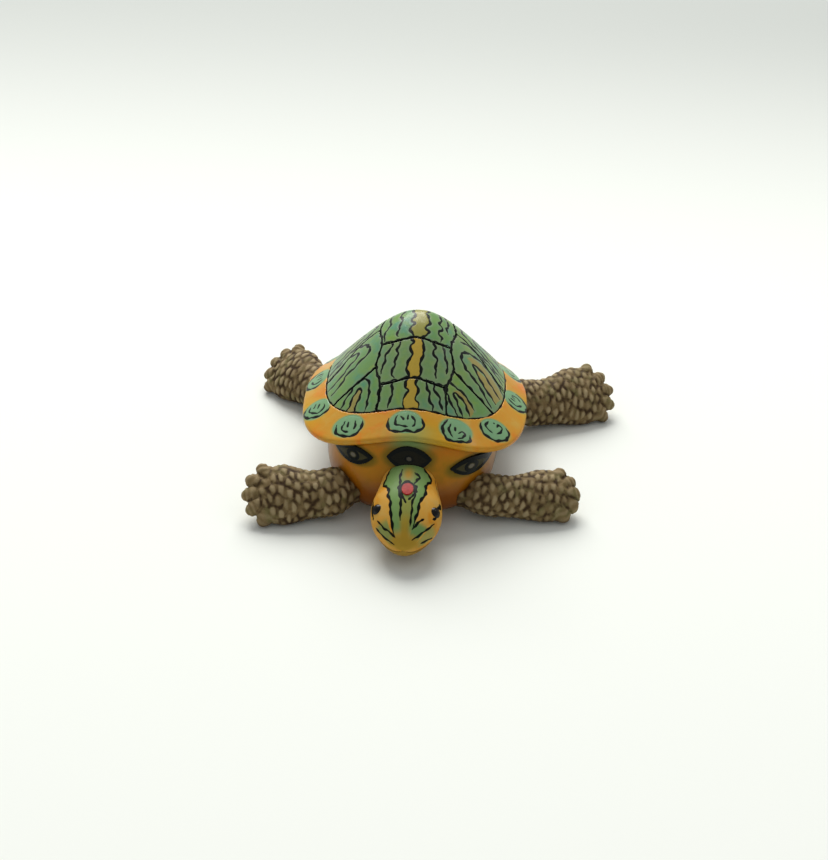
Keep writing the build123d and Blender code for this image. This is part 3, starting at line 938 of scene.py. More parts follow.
    tan_bands: tuple[tuple[Place, ...], ...] = (
        ((12.4, -5.4), (13.6, -3.6), (16.3, -2.8), (19.3, -4.4), (21.6, -7.4), (20.9, -9.2), (19.4, -8.0),
         (18.1, -6.9), (16.9, -5.8), (15.4, -5.4), (14.1, -5.8)),
        ((19.9, -12.2), (17.8, -10.6), (16.5, -9.6), (15.3, -8.1), (14.6, -6.8), (16.9, -6.4), (18.1, -7.2),
         (19.4, -8.3), (20.9, -9.5)),
        ((9.6, -16.6), (11.2, -16.1), (12.9, -16.9), (14.7, -18.6), (13.9, -20.6), (12.9, -18.7),
         (11.8, -17.6)),
        ((-16.2, -20.4), (-15.0, -18.6), (-14.5, -17.0), (-13.7, -16.0), (-13.0, -15.7), (-12.4, -16.6),
         (-12.8, -17.9), (-13.4, -19.1), (-13.8, -21.2)))
    cross_seams: tuple[tuple[Place, ...], ...] = (
        ((-0.36, -0.71), (-0.18, -0.72), (0, -0.70), (0.18, -0.72), (0.36, -0.71)),
        ((-0.38, -0.26), (-0.20, -0.29), (0, -0.28), (0.20, -0.29), (0.38, -0.26)),
        ((-0.36, 0.36), (-0.18, 0.39), (0, 0.38), (0.18, 0.39), (0.36, 0.36)),
        ((-0.25, 0.72), (-0.12, 0.75), (0, 0.74), (0.12, 0.75), (0.25, 0.72)))
    side_seam: tuple[Place, ...] = (
        (0.39, -1.0), (0.36, -0.84), (0.36, -0.71), (0.42, -0.50), (0.38, -0.26), (0.42, 0.04),
        (0.36, 0.36), (0.34, 0.55), (0.25, 0.72), (0.36, 0.88), (0.44, 1.0))
    costal_seams: tuple[tuple[Place, ...], ...] = (
        ((0.42, -0.50), (0.57, -0.57), (0.73, -0.62), (0.94, -0.70)),
        ((0.42, 0.04), (0.63, 0.03), (0.83, -0.10), (1.0, -0.18)),
        ((0.34, 0.55), (0.55, 0.56), (0.76, 0.48), (0.98, 0.43)))
    work: list[Workpiece] = field(default_factory=list)
    brush: Brushwork = field(default_factory=Brushwork)
    tones: tuple[float, ...] = (0.2, 0.9, 0.4, 0.7, 0.1, 0.5, 0.8, 0.3, 0.6, 0.95, 0.15, 0.55, 0.75)
    stripe_wobble: float = 0.08
    line_wobble: float = 0.10
    seam_wobble: float = 0.14
    rear_wobble: float = 0.18
    steep_limit: float = -12.0
    rear_shift: float = 0.3
    face_reach: float = 0.45
    glaze_depth: float = 0.12
    foot_half_width: float = 0.16
    bare_distance: float = -0.2
    crown_start: float = -7.2
    crown_end: float = -5.6
    tan_share: float = 0.62
    tone_share: float = 0.55
    pale_share: float = 0.45
    pale_reach: float = 0.45

    def seam(self, shares: tuple[Place, ...], side: float = 1.0) -> Stroke:
        """Lays out one seam.

        Args:
            shares: Its places, as shares of the dome's half width and of its front or rear reach.
            side: 1 for the turtle's left, -1 for its right.

        Returns:
            The seam's line.
        """
        form = self.form
        places = tuple((side * across * form.dome_half_width,
                        along * (form.dome_front_reach if along < 0 else form.dome_rear_reach))
                       for across, along in shares)
        return Stroke(places, self.seam_wobble)

    def strokes(self) -> list[tuple[Stroke, float]]:
        """Every brush line on the dome with its half width.

        Returns:
            The lines, in the order in which they are laid.
        """
        laid = [(Stroke(line, self.stripe_wobble), self.stripe_half_width)
                for line in (self.stripe_left, self.stripe_right)]
        laid += [(Stroke(line, self.line_wobble), self.line_half_width) for line in self.back_lines]
        for line in self.flank_lines:
            steep = line[len(line) // 2][1] > self.steep_limit
            half_width = self.flank_half_width if steep else self.line_half_width
            laid.append((Stroke(line, self.line_wobble), half_width))
        laid += [(self.seam(shares), self.seam_half_width) for shares in self.cross_seams]
        for side in (1.0, -1.0):
            for shares in (self.side_seam, *self.costal_seams):
                laid.append((self.seam(shares, side), self.seam_half_width))
            for line in self.rear_flank_lines:
                places = tuple((side * x, y + self.rear_shift * side) for x, y in line)
                laid.append((Stroke(places, self.rear_wobble), self.flank_half_width))
        return laid

    def build(self, frame: dict, origin: Vector) -> None:
        """Copies the thirteen fields and lays the lines on the finished dome.

        Args:
            frame: The loaded frame.
            origin: The middle of the shell.
        """
        names = [name for name in frame["nodes"] if "_scute_" in name]
        for name in sorted(names):
            work = Workpiece(frame, [name], f"glazed_{name}", self.voxel, 2, origin)
            points = work.points()
            height = self.form.dome_height(points[:, 0], points[:, 1])
            facing_up = work.normals()[:, 2] > 0.35
            near = np.abs(points[:, 2] - height) < self.face_reach
            points[:, 2] = np.where(facing_up & near, height, points[:, 2])
            work.place(points)
            self.work.append(work)
        for stroke, half_width in self.strokes():
            flat = stroke.samples()[:, :2]
            height = self.form.dome_height(flat[:, 0], flat[:, 1])
            self.brush.lay(np.column_stack((flat, height)), half_width)

    def dress(self) -> None:
        """Paints lines, the stripe and tone on each field, and finishes them."""
        washes = (("tone", tint(120, 144, 102)), ("pale", tint(140, 154, 124)), ("stripe", tint(182, 154, 60)),
                  ("khaki", tint(148, 144, 68)), ("tan", tint(170, 136, 68)))
        material = PaintedGlaze("green_field_glaze", tint(108, 150, 86), tint(86, 144, 112),
                                tint(126, 160, 64), washes).make()
        left, right = (Stroke(line, self.stripe_wobble).samples()
                       for line in (self.stripe_left, self.stripe_right))
        outlines = [Stroke(band, wobble=0.0).samples(0.4) for band in self.tan_bands]
        for number, work in enumerate(self.work):
            points = work.points()
            x, y, z = points.T
            depth = self.form.dome_height(x, y) - z
            on_face = depth < self.glaze_depth
            ink = np.where(on_face, self.brush.reach(points), self.bare_distance)
            edge = np.minimum(ink, self.form.foot_line(x, y, 1.0, self.foot_half_width))
            work.paint(INK_LINE, edge)
            on_stripe = ((x > np.interp(y, left[:, 1], left[:, 0]))
                         & (x < np.interp(y, right[:, 1], right[:, 0])))
            crown = ramp_up(y, self.crown_start, self.crown_end)
            work.paint("stripe", on_stripe * (1.0 - crown))
            work.paint("khaki", on_stripe * crown)
            on_band = np.any([inside(points[:, :2], outline) for outline in outlines], axis=0)
            work.paint("tan", on_band * self.tan_share)
            work.paint("tone", np.full(len(x), self.tone_share * self.tones[number]))
            soft = bell(np.maximum(edge, 0.0), 0.0, self.pale_reach)
            work.paint("pale", self.pale_share * soft * on_face)
            work.dress(material, Slot.GREEN)


@dataclass
class Rim:
    """The amber collar with twelve ringed green spots."""

    form: ShellForm
    voxel: float = 0.21
    spot_voxel: float = 0.13
    left_bearings: tuple[float, ...] = (24, 46, 80, 116, 150)
    right_bearings: tuple[float, ...] = (33, 61, 93, 126, 156)
    band_share: float = 0.47
    pad_sink: float = 0.29
    pad_edge_sink: float = 0.11
    pad_half_length: float = 3.9
    pad_half_width: float = 2.9
    front_bearing: float = -2.5
    ring_wobble: float = 0.07
    foot_half_width: float = 0.15
    halo_share: float = 0.85
    glow_share: float = 0.9
    glow_half_width: float = 5.0
    shortest_landing: int = 3
    loops: dict[str, tuple[tuple[Place, ...], ...]] = field(default_factory=lambda: {
        "front": (((-4.1, -1.1), (-4.3, 0.2), (-3.9, 1.5), (-3.0, 2.3), (-1.5, 2.6), (0.7, 2.3), (2.0, 2.5),
                   (3.1, 2.1), (4.2, 1.0), (4.2, -0.2), (3.7, -1.2)),
                  ((-2.1, -1.7), (-2.5, -0.7), (-2.2, 0.6), (-0.9, 1.1), (0.6, 1.3)),
                  ((1.2, -1.6), (2.1, -0.6), (2.1, 0.6), (1.7, 1.1)), ((-1.4, -1.5), (-0.4, -0.4)),
                  ((0.4, -1.9), (0.4, -0.5))),
        "right_1": (((-3.2, 0.0), (-2.7, 1.2), (-1.8, 2.2), (-0.6, 2.6), (0.7, 2.6), (1.8, 2.7), (2.8, 2.2),
                     (3.5, 1.2), (3.7, 0.0), (3.0, -1.7)),
                    ((-1.5, 0.0), (-1.2, 0.8), (-0.2, 1.5), (1.0, 1.6)),
                    ((1.1, -1.5), (1.9, -0.3), (2.0, 0.8)), ((-0.5, -1.0), (0.2, 0.5)),
                    ((-1.5, -1.1), (-1.2, 0.1))),
        "right_2": (((-3.7, 0.3), (-3.1, 1.6), (-1.6, 2.5), (0.4, 2.5), (2.1, 1.8), (3.4, 0.8), (3.9, -0.7),
                     (3.6, -1.8)),
                    ((-2.7, 0.0), (-1.7, 1.0), (0.5, 1.1), (2.1, 0.3), (1.9, -1.1), (0.7, -1.8)),
                    ((-2.1, -1.1), (-1.0, 0.1)), ((-0.8, -1.4), (0.5, -0.1))),
        "left_1": (((-1.4, -2.5), (-2.8, -1.2), (-3.4, 0.6), (-3.1, 1.7), (-2.6, 2.5), (-1.4, 2.9),
                    (0.2, 2.8), (1.8, 2.9), (2.9, 2.2), (3.2, 1.0)),
                   ((-0.8, -1.6), (-1.6, -0.4), (-1.7, 0.9), (-1.3, 1.9)),
                   ((0.3, 0.9), (1.4, 0.3), (1.9, 1.0), (1.2, 1.8), (-0.1, 2.1)),
                   ((0.0, -0.8), (-0.3, 0.3))),
        "left_2": (((-2.7, -2.2), (-3.5, -1.2), (-3.7, 0.3), (-3.0, 1.6), (-1.7, 2.5), (0.0, 2.7),
                    (2.0, 2.3), (3.5, 1.1), (3.7, -0.4)),
                   ((-0.3, -2.3), (-1.7, -1.5), (-1.9, -0.4), (-1.3, 0.6)),
                   ((-0.4, 1.0), (1.4, 0.6), (2.3, -0.4), (1.9, -1.2), (0.8, -0.5)),
                   ((1.0, -1.8), (0.8, -1.5))),
        "other": (((-3.4, -1.6), (-3.8, -0.2), (-3.0, 1.6), (-1.4, 2.5), (0.4, 2.7), (2.2, 2.2), (3.5, 0.8),
                   (3.5, -0.8)), ((-1.7, -1.7), (-2.1, -0.2), (-1.2, 1.0), (0.3, 1.4)),
                  ((1.2, -1.4), (2.0, -0.3), (1.5, 0.8)), ((-0.7, -1.3), (-0.4, -0.1)),
                  ((0.6, -1.3), (0.5, -0.4)))})
    half_widths: tuple[float, ...] = (0.36, 0.29, 0.28, 0.26, 0.26)
    work: list[Workpiece] = field(default_factory=list)
    brush: Brushwork = field(default_factory=Brushwork)
    centres: dict[str, tuple[float, float, float, float]] = field(default_factory=dict)

    def build(self, frame: dict, origin: Vector) -> None:
        """Copies the collar and its pads, and lays the rings on them.

        Args:
            frame: The loaded frame.
            origin: The middle of the shell.
        """
        collar = Workpiece(frame, ["shell_rim"], "glazed_rim", self.voxel, 3, origin)
        self.work.append(collar)
        for name in sorted(name for name in frame["nodes"] if name.startswith("rim_spot_")):
            self.work.append(Workpiece(frame, [name], f"glazed_{name}", self.spot_voxel, 4, origin))
        bearings = {"rim_spot_front": self.front_bearing, "rim_spot_rear": 180.0}
        for side, side_name, angles in ((1, "left", self.left_bearings),
                                        (-1, "right", self.right_bearings)):
            for number, angle in enumerate(angles, start=1):
                bearings[f"rim_spot_{side_name}_{number}"] = side * angle
        surface = collar.surface()
        chooser = random.Random(5)
        for name, bearing in bearings.items():
            angle = math.radians(bearing)
            x, y = self.form.rim_point(angle, self.band_share)
            lip = self.form.rim_point(angle, 1.0)
            out = np.array((lip[0] - x, lip[1] - y))
            out /= np.linalg.norm(out)
            along = np.array((-out[1], out[0]))
            self.centres[name] = (x, y, out[0], out[1])
            short_name = name.removeprefix("rim_spot_")
            drawn = short_name in self.loops
            flip = 1 if drawn else chooser.choice((-1, 1))
            for loop, half_width in zip(self.loops[short_name if drawn else "other"], self.half_widths):
                flat = Stroke(tuple((flip * u, v) for u, v in loop), self.ring_wobble).samples()
                landed = drop(surface, np.array((x, y)) + flat[:, :1] * along + flat[:, 1:] * out)
                if len(landed) > self.shortest_landing:
                    self.brush.lay(landed, half_width)

    def nearness(self, points: np.ndarray, centre: tuple[float, float, float, float]) -> np.ndarray:
        """Tells how near points are to a spot.

        Args:
            points: The points.
            centre: The spot's place, and the way from it to the lip.

        Returns:
            One number a point: 0 in the spot's middle, 1 on its edge.
        """
        centre_x, centre_y, out_x, out_y = centre
        across, ahead = points[:, 0] - centre_x, points[:, 1] - centre_y
        return np.hypot((ahead * out_x - across * out_y) / self.pad_half_length,
                        (across * out_x + ahead * out_y) / self.pad_half_width)

    def dress(self) -> None:
        """Paints the collar and the pads, and finishes them."""
        amber = PaintedGlaze("amber_rim_glaze", tint(202, 144, 44), tint(198, 154, 62), tint(214, 122, 26),
                             (("gold", tint(196, 148, 26)), ("halo", tint(142, 160, 92)),
                              ("teal", tint(112, 158, 118))), blot_mm=6.5, roughness=0.34)
        pads = PaintedGlaze("teal_spot_glaze", tint(112, 158, 120), tint(100, 162, 132), tint(128, 164, 108),
                            (("halo", tint(120, 160, 116)),), blot_mm=2.4, roughness=0.34)
        amber_material, pad_material = amber.make(), pads.make()
        for work in self.work:
            points = work.points()
            pad = self.centres.get(work.nodes[0])
            if pad:
                points[:, 2] -= self.pad_sink + self.pad_edge_sink * self.nearness(points, pad) ** 2
                work.place(points)
            x, y, z = points.T
            ink = self.brush.reach(points)
            spot = np.min([self.nearness(points, centre) for centre in self.centres.values()], axis=0)
            glow = bell(x, 0.0, self.glow_half_width) * ramp_up(y, -26.0, -29.0)
            halo = np.maximum(ramp_up(spot, 1.20, 0.98), self.glow_share * glow)
            work.paint("halo", halo * (z > 12.0) * self.halo_share)
            work.paint("teal", ramp_up(spot, 1.06, 0.96))
            patches = ramp_up(np.sin(np.arctan2(x, -y) * 5.0 + 0.8), -0.2, 1.0)
            work.paint("gold", patches * ramp_up(self.form.dome_share(x, y), 1.0, 1.22))
            foot = self.form.foot_line(x, y, -1.0, self.foot_half_width)
            seen = ramp_up(work.normals()[:, 2], -0.1, 0.2) > 0.5
            work.paint(INK_LINE, np.where(seen, np.minimum(ink, foot), 1.0))
            work.dress(pad_material if pad else amber_material, Slot.TEAL if pad else Slot.RIM)


@dataclass
class Torso:
    """The lower casting under amber glaze that darkens to brown low down and under the rim, with three dark
    spots on its chest.
    """

    voxel: float = 0.38
    spot_voxel: float = 0.12
    front_start: float = -16.0
    front_end: float = -26.0
    shade_share: float = 0.8
    throat_half_width: float = 6.0
    throat_share: float = 0.5
    glow_half_width: float = 5.5
    thinnest_clay: float = 0.30
    streaked_clay: float = 0.45
    spot_power: float = 1.8
    spot_border: float = 0.75
    middle_spot: str = "chest_spot_middle"
    work: list[Workpiece] = field(default_factory=list)
    centres: dict[str, tuple[float, float, float, float, float]] = field(default_factory=lambda: {
        "chest_spot_middle": (0.2, 16.5, 5.4, 2.5, 0.0),
        "chest_spot_left": (14.9, 13.6, 5.0, 1.85, -6.0),
        "chest_spot_right": (-13.2, 15.4, 5.0, 1.85, 6.0)})

    def build(self, frame: dict, origin: Vector) -> None:
        """Copies the casting and its spots.

        Args:
            frame: The loaded frame.
            origin: The middle of the shell.
        """
        self.work.append(Workpiece(frame, ["body"], "glazed_body", self.voxel, 3, origin))
        for name in self.centres:
            self.work.append(Workpiece(frame, [name], f"glazed_{name}", self.spot_voxel, 1, origin))

    def dress(self) -> None:
        """Paints the fade from amber to brown, the green over the neck, and the spots."""
        washes = (("brown", tint(132, 72, 6)), ("olive", tint(108, 98, 22)), ("halo", tint(116, 142, 84)),
                  ("clay", tint(112, 88, 44)), ("belly", tint(172, 146, 104)))
        amber = PaintedGlaze("amber_body_glaze", tint(184, 122, 24), tint(166, 118, 20), tint(194, 118, 22),
                             washes, blot_mm=6.0).make()
        dark = PaintedGlaze("dark_spot_glaze", tint(9, 11, 5), tint(7, 10, 5), tint(14, 13, 5),
                            (("olive", tint(66, 62, 34)), ("pupil", tint(112, 106, 92))),
                            blot_mm=2.0, roughness=0.25).make()
        casting = self.work[0]
        points = casting.points()
        x, y, z = points.T
        front = ramp_up(y, self.front_start, self.front_end)
        casting.paint(INK_LINE, np.full(len(x), 1.0))
        # Darker towards the bottom and under the rim.
        casting.paint("brown", np.maximum(ramp_up(z, 13.5, 7.0) * front,
                                          ramp_up(z, 12.0, 3.0) * (1.0 - front)))
        near = np.full(len(x), 9.0)
        for centre_x, centre_z, long, high, _ in self.centres.values():
            near = np.minimum(near, np.hypot((x - centre_x) / long, (z - centre_z) / high))
        throat = self.throat_share * bell(x, 0.0, self.throat_half_width) * ramp_up(z, 10.0, 14.0)
        casting.paint("olive", np.maximum(self.shade_share * ramp_up(near, 1.45, 1.0), throat) * front)
        casting.paint("halo", bell(x, 0.0, self.glow_half_width) * ramp_up(z, 17.6, 19.4) * front)
        casting.paint("clay", (1.0 - front) * self.streaks(x, y, z) * ramp_up(z, 18.0, 12.0))
        casting.paint("belly", ramp_up(z, 1.6, 0.6))
        casting.dress(amber, Slot.BODY)
        for work in self.work[1:]:
            self.dress_spot(work, dark)

    def streaks(self, x: np.ndarray, y: np.ndarray, z: np.ndarray) -> np.ndarray:
        """Tells how much clay wash the brush left on the sides.

        Args:
            x: Places across.
            y: Places along.
            z: Heights.

        Returns:
            One share a place.
        """
        bearing = np.arctan2(x, -y)
        sway = bearing + 0.05 * np.sin(0.55 * z + 4.0 * bearing)
        brushed = (0.5 + 0.20 * np.sin(31.0 * sway + 1.9 * np.sin(5.0 * bearing))
                   + 0.16 * np.sin(53.0 * sway + 2.3 * np.sin(3.0 * bearing + 0.2 * z))
                   + 0.14 * np.sin(11.0 * sway - 0.35 * z))
        return self.thinnest_clay + self.streaked_clay * ramp_up(brushed, 0.2, 0.85)

    def dress_spot(self, work: Workpiece, dark: Material) -> None:
        """Paints one spot: a dark border, an olive field, a ring and a pale middle.

        Args:
            work: The spot.
            dark: Its glaze.
        """
        centre_x, centre_z, long, high, lean = self.centres[work.nodes[0]]
        points = work.points()
        across, up = points[:, 0] - centre_x, points[:, 2] - centre_z
        angle = math.radians(lean)
        u = across * math.cos(angle) + up * math.sin(angle)
        v = -across * math.sin(angle) + up * math.cos(angle)
        edge = (1.0 - np.abs(u / long) ** self.spot_power) * high - np.abs(v)
        out = np.hypot(u * 0.85, v * 1.25)
        in_middle = work.nodes[0] == self.middle_spot
        radius, half_width, olive, pupil = (0.75, 0.22, 0.12, 0.5) if in_middle else (1.05, 0.36, 0.85, 0.9)
        ring = np.abs(out - radius) < half_width
        work.paint(INK_LINE, np.minimum(edge - self.spot_border, np.where(ring, -0.2, 0.6)))
        work.paint("olive", ramp_up(edge, 0.6, 1.0) * olive)
        work.paint("pupil", ramp_up(out, 0.62, 0.40) * pupil)
        work.dress(dark, Slot.DARK)


@dataclass
class Head:
    """The head with its green crown band, wavy lines, amber cheeks, bead eyes and red dot."""

    voxel: float = 0.17
    root_reach: float = 32.8
    length: float = 20.6
    half_width: float = 8.3
    half_height: float = 5.6
    height: float = 8.0
    rise: float = 2.8
    side_shift: float = 0.5
    sections: tuple[tuple[float, float, float, float], ...] = (
        (0, 0.78, 0.84, 0.95), (0.16, 0.84, 0.90, 0.68), (0.34, 0.95, 0.97, 0.34), (0.52, 1.00, 1.00, 0.02),
        (0.70, 0.90, 0.91, -0.36), (0.86, 0.62, 0.70, -0.72), (0.96, 0.34, 0.40, -0.96),
        (1.00, 0.12, 0.15, -1.03))
    band_left: tuple[Place, ...] = (
        (0.0, -50), (0.08, -54), (0.15, -58), (0.28, -59), (0.35, -48), (0.42, -43), (0.50, -42),
        (0.60, -37), (0.70, -38), (0.81, -38), (0.90, -42), (0.93, -43))
    band_right: tuple[Place, ...] = (
        (0.0, 38), (0.07, 42), (0.11, 53), (0.19, 56), (0.30, 43), (0.39, 42), (0.49, 39), (0.58, 31),
        (0.68, 31), (0.76, 29), (0.85, 28))
    middle_lines: tuple[tuple[Place, ...], ...] = (
        ((0.10, -19), (0.22, -22), (0.34, -19), (0.41, -21), (0.53, -16), (0.63, -13), (0.73, -14),
         (0.81, -14)), ((0.14, 15), (0.20, 28), (0.26, 22), (0.33, 15)),
        ((0.46, -15), (0.53, -11), (0.58, -6), (0.62, -1)), ((0.75, 48), (0.79, 41), (0.88, 27)),
        ((0.49, 19), (0.53, 12), (0.58, 5)))
    thin_lines: tuple[tuple[Place, ...], ...] = (
        ((0.49, 21), (0.55, 17), (0.63, 14), (0.71, 16), (0.79, 16), (0.86, 18)),
        ((0.73, -71), (0.83, -63), (0.89, -52), (0.94, -42)),
        ((0.76, -82), (0.83, -80), (0.91, -75), (0.97, -66)),
        ((0.72, 73), (0.81, 66), (0.89, 57), (0.95, 43)), ((0.79, 93), (0.88, 85), (0.92, 81)))
    cheek_lines: tuple[tuple[Place, ...], ...] = (
        ((0.08, 71), (0.20, 73), (0.30, 76)), ((0.10, -84), (0.24, -82), (0.36, -80)),
        ((0.12, 86), (0.26, 90)))
    eye_lines: tuple[tuple[Place, ...], ...] = (
        ((0.46, 76), (0.52, 71), (0.58, 68), (0.64, 70)),
        ((0.46, -76), (0.52, -76), (0.58, -77), (0.64, -78)))
    tear_lines: tuple[tuple[Place, ...], ...] = (
        ((0.63, 71), (0.67, 70), (0.70, 66)), ((0.63, -77), (0.68, -79)))
    ring: tuple[Place, ...] = (
        (0.49, 18), (0.43, 19), (0.37, 16), (0.33, 9), (0.315, 0), (0.32, -8), (0.37, -15), (0.42, -17),
        (0.47, -15))
    green_patches: tuple[tuple[float, ...], ...] = (
        (1.0, 26, 62, 0.78, 0.84, 0.90), (0.8, -80, -48, 0.74, 0.82, 0.94), (0.6, 66, 92, 0.70, 0.80, 0.92))
    line_scale: Place = (20.0, 0.12)
    line_wobble: float = 0.07
    line_step: float = 0.08
    mouth_turn: float = 108.0
    mouth_spread: float = 3.2
    mouth_depth: float = 0.22
    brow_turn: float = 62.0
    brow_spread: float = 12.0
    brow_place: float = 0.46
    brow_length: float = 0.11
    brow_height: float = 0.30
    work: Workpiece | None = None
    brush: Brushwork = field(default_factory=Brushwork)

    def middle(self, along: np.ndarray) -> tuple[np.ndarray, np.ndarray, np.ndarray, np.ndarray]:
        """The head's middle line and half sizes at shares of its length.

        Args:
            along: Shares from the neck at 0 to the snout at 1.

        Returns:
            Height of the middle line, half width, half height and the y place.
        """
        table = np.array(self.sections)
        width = np.interp(along, table[:, 0], table[:, 1]) * self.half_width
        high = np.interp(along, table[:, 0], table[:, 2]) * self.half_height
        lift = self.height + np.interp(along, table[:, 0], table[:, 3]) * self.rise
        return lift, width, high, -self.root_reach - self.length * np.asarray(along)

    def wrapped(self, line: Iterable[Place]) -> np.ndarray:
        """Wraps a line round the head.

        Args:
            line: Its places, as shares along the head and degrees from its top.

        Returns:
            The line's points in space.
        """
        stretch = np.array(self.line_scale)
        stroke = Stroke(tuple(map(tuple, np.array(line) * stretch)), self.line_wobble)
        flat = stroke.samples(self.line_step) / stretch
        along, turn = flat[:, 0], np.radians(flat[:, 1])
        lift, width, high, y = self.middle(along)
        reach = 1.0 / np.hypot(np.sin(turn) / width, np.cos(turn) / high)
        return np.column_stack((self.side_shift + reach * np.sin(turn), y, lift + reach * np.cos(turn)))

    def mouth(self, along: np.ndarray, turn: np.ndarray) -> np.ndarray:
        """How deep in the mouth line places lie, from 0 to 1."""
        return bell(np.abs(turn), self.mouth_turn, self.mouth_spread) * ramp_up(along, 0.55, 0.68)

    def build(self, frame: dict, origin: Vector) -> None:
        """Copies the head, shapes its mouth and brow, and lays its lines.

        Args:
            frame: The loaded frame.
            origin: The middle of the shell.
        """
        work = Workpiece(frame, ["head"], "glazed_head", self.voxel, 3, origin)
        self.work = work
        points = work.points()
        along, turn = self.measure(points)
        brow = (bell(np.abs(turn), self.brow_turn, self.brow_spread)
                * bell(along, self.brow_place, self.brow_length))
        relief = self.brow_height * brow - self.mouth_depth * self.mouth(along, turn)
        work.place(points + work.normals() * relief[:, None])
        surface = work.surface()
        sets = (((self.band_left, self.band_right), 0.33), ((self.ring,), 0.58), (self.middle_lines, 0.30),
                (self.thin_lines, 0.24), (self.cheek_lines, 0.16),
                (self.eye_lines, 0.55), (self.tear_lines, 0.3))
        for lines, half_width in sets:
            for line in lines:
                self.brush.lay(settle_on(surface, self.wrapped(line)), half_width)

    def measure(self, points: np.ndarray) -> tuple[np.ndarray, np.ndarray]:
        """Tells where points lie on the head.

        Args:
            points: The points.

        Returns:
            Each point's share along the head and its degrees from the top.
        """
        along = np.clip((-points[:, 1] - self.root_reach) / self.length, -0.2, 1.0)
        lift, _, _, _ = self.middle(along)
        return along, np.degrees(np.arctan2(points[:, 0] - self.side_shift, points[:, 2] - lift))

    def dress(self, frame: dict) -> None:
        """Paints the head, and gives the eye beads and the red dot their glazes.

        Args:
            frame: The loaded frame.
        """
        washes = (("jaw", tint(160, 126, 52)), ("green", tint(116, 148, 86)), ("ochre", tint(176, 132, 16)),
                  ("snout", tint(172, 138, 48)), ("mouth", tint(88, 54, 12)))
        material = PaintedGlaze("amber_head_glaze", tint(210, 158, 68), tint(206, 162, 80),
                                tint(210, 142, 42), washes, blot_mm=4.0, roughness=0.34, coat=0.0,
                                specular=0.07).make()
        work = self.work
        points = work.points()
        along, turn = self.measure(points)
        left, right = np.array(self.band_left), np.array(self.band_right)
        low = np.interp(along, left[:, 0], left[:, 1])
        high = np.interp(along, right[:, 0], right[:, 1])
        green = ((turn > low) & (turn < high)) * ramp_up(along, 0.99, 0.86)
        for share, first, last, start, full, end in self.green_patches:
            green = green + (share * ((turn > first) & (turn < last)) * ramp_up(along, start, full)
                             * ramp_up(along, 0.99, end))
        work.paint("green", green)
        patch = bell(turn, -1.0, 14.0) * bell(along, 0.18, 0.10)
        strip = np.exp(-(((turn - 1.0) / 16.0) ** 4)) * ramp_up(along, 0.48, 0.62)
        work.paint("ochre", np.maximum(patch, strip * (0.35 + 0.35 * ramp_up(along, 0.70, 0.85))))
        work.paint("snout", ramp_up(along, 0.90, 0.97) * ramp_up(np.abs(turn), 100.0, 60.0))
        work.paint("jaw", ramp_up(np.abs(turn), 92.0, 116.0))
        work.paint("mouth", 0.8 * self.mouth(along, turn))
        work.paint(INK_LINE, self.brush.reach(points))
        work.dress(material, Slot.HEAD)
        bead = PlainGlaze("eye_bead_glaze", tint(8, 6, 5), tint(18, 14, 10), 0.3, 0.1).make()
        red = PlainGlaze("red_dot_glaze", tint(158, 20, 14), tint(180, 38, 24), 0.45, 0.0).make()
        for name, finish in (("eye_left", bead), ("eye_right", bead), ("crown_spot", red)):
            repaint(frame["nodes"][name], finish)


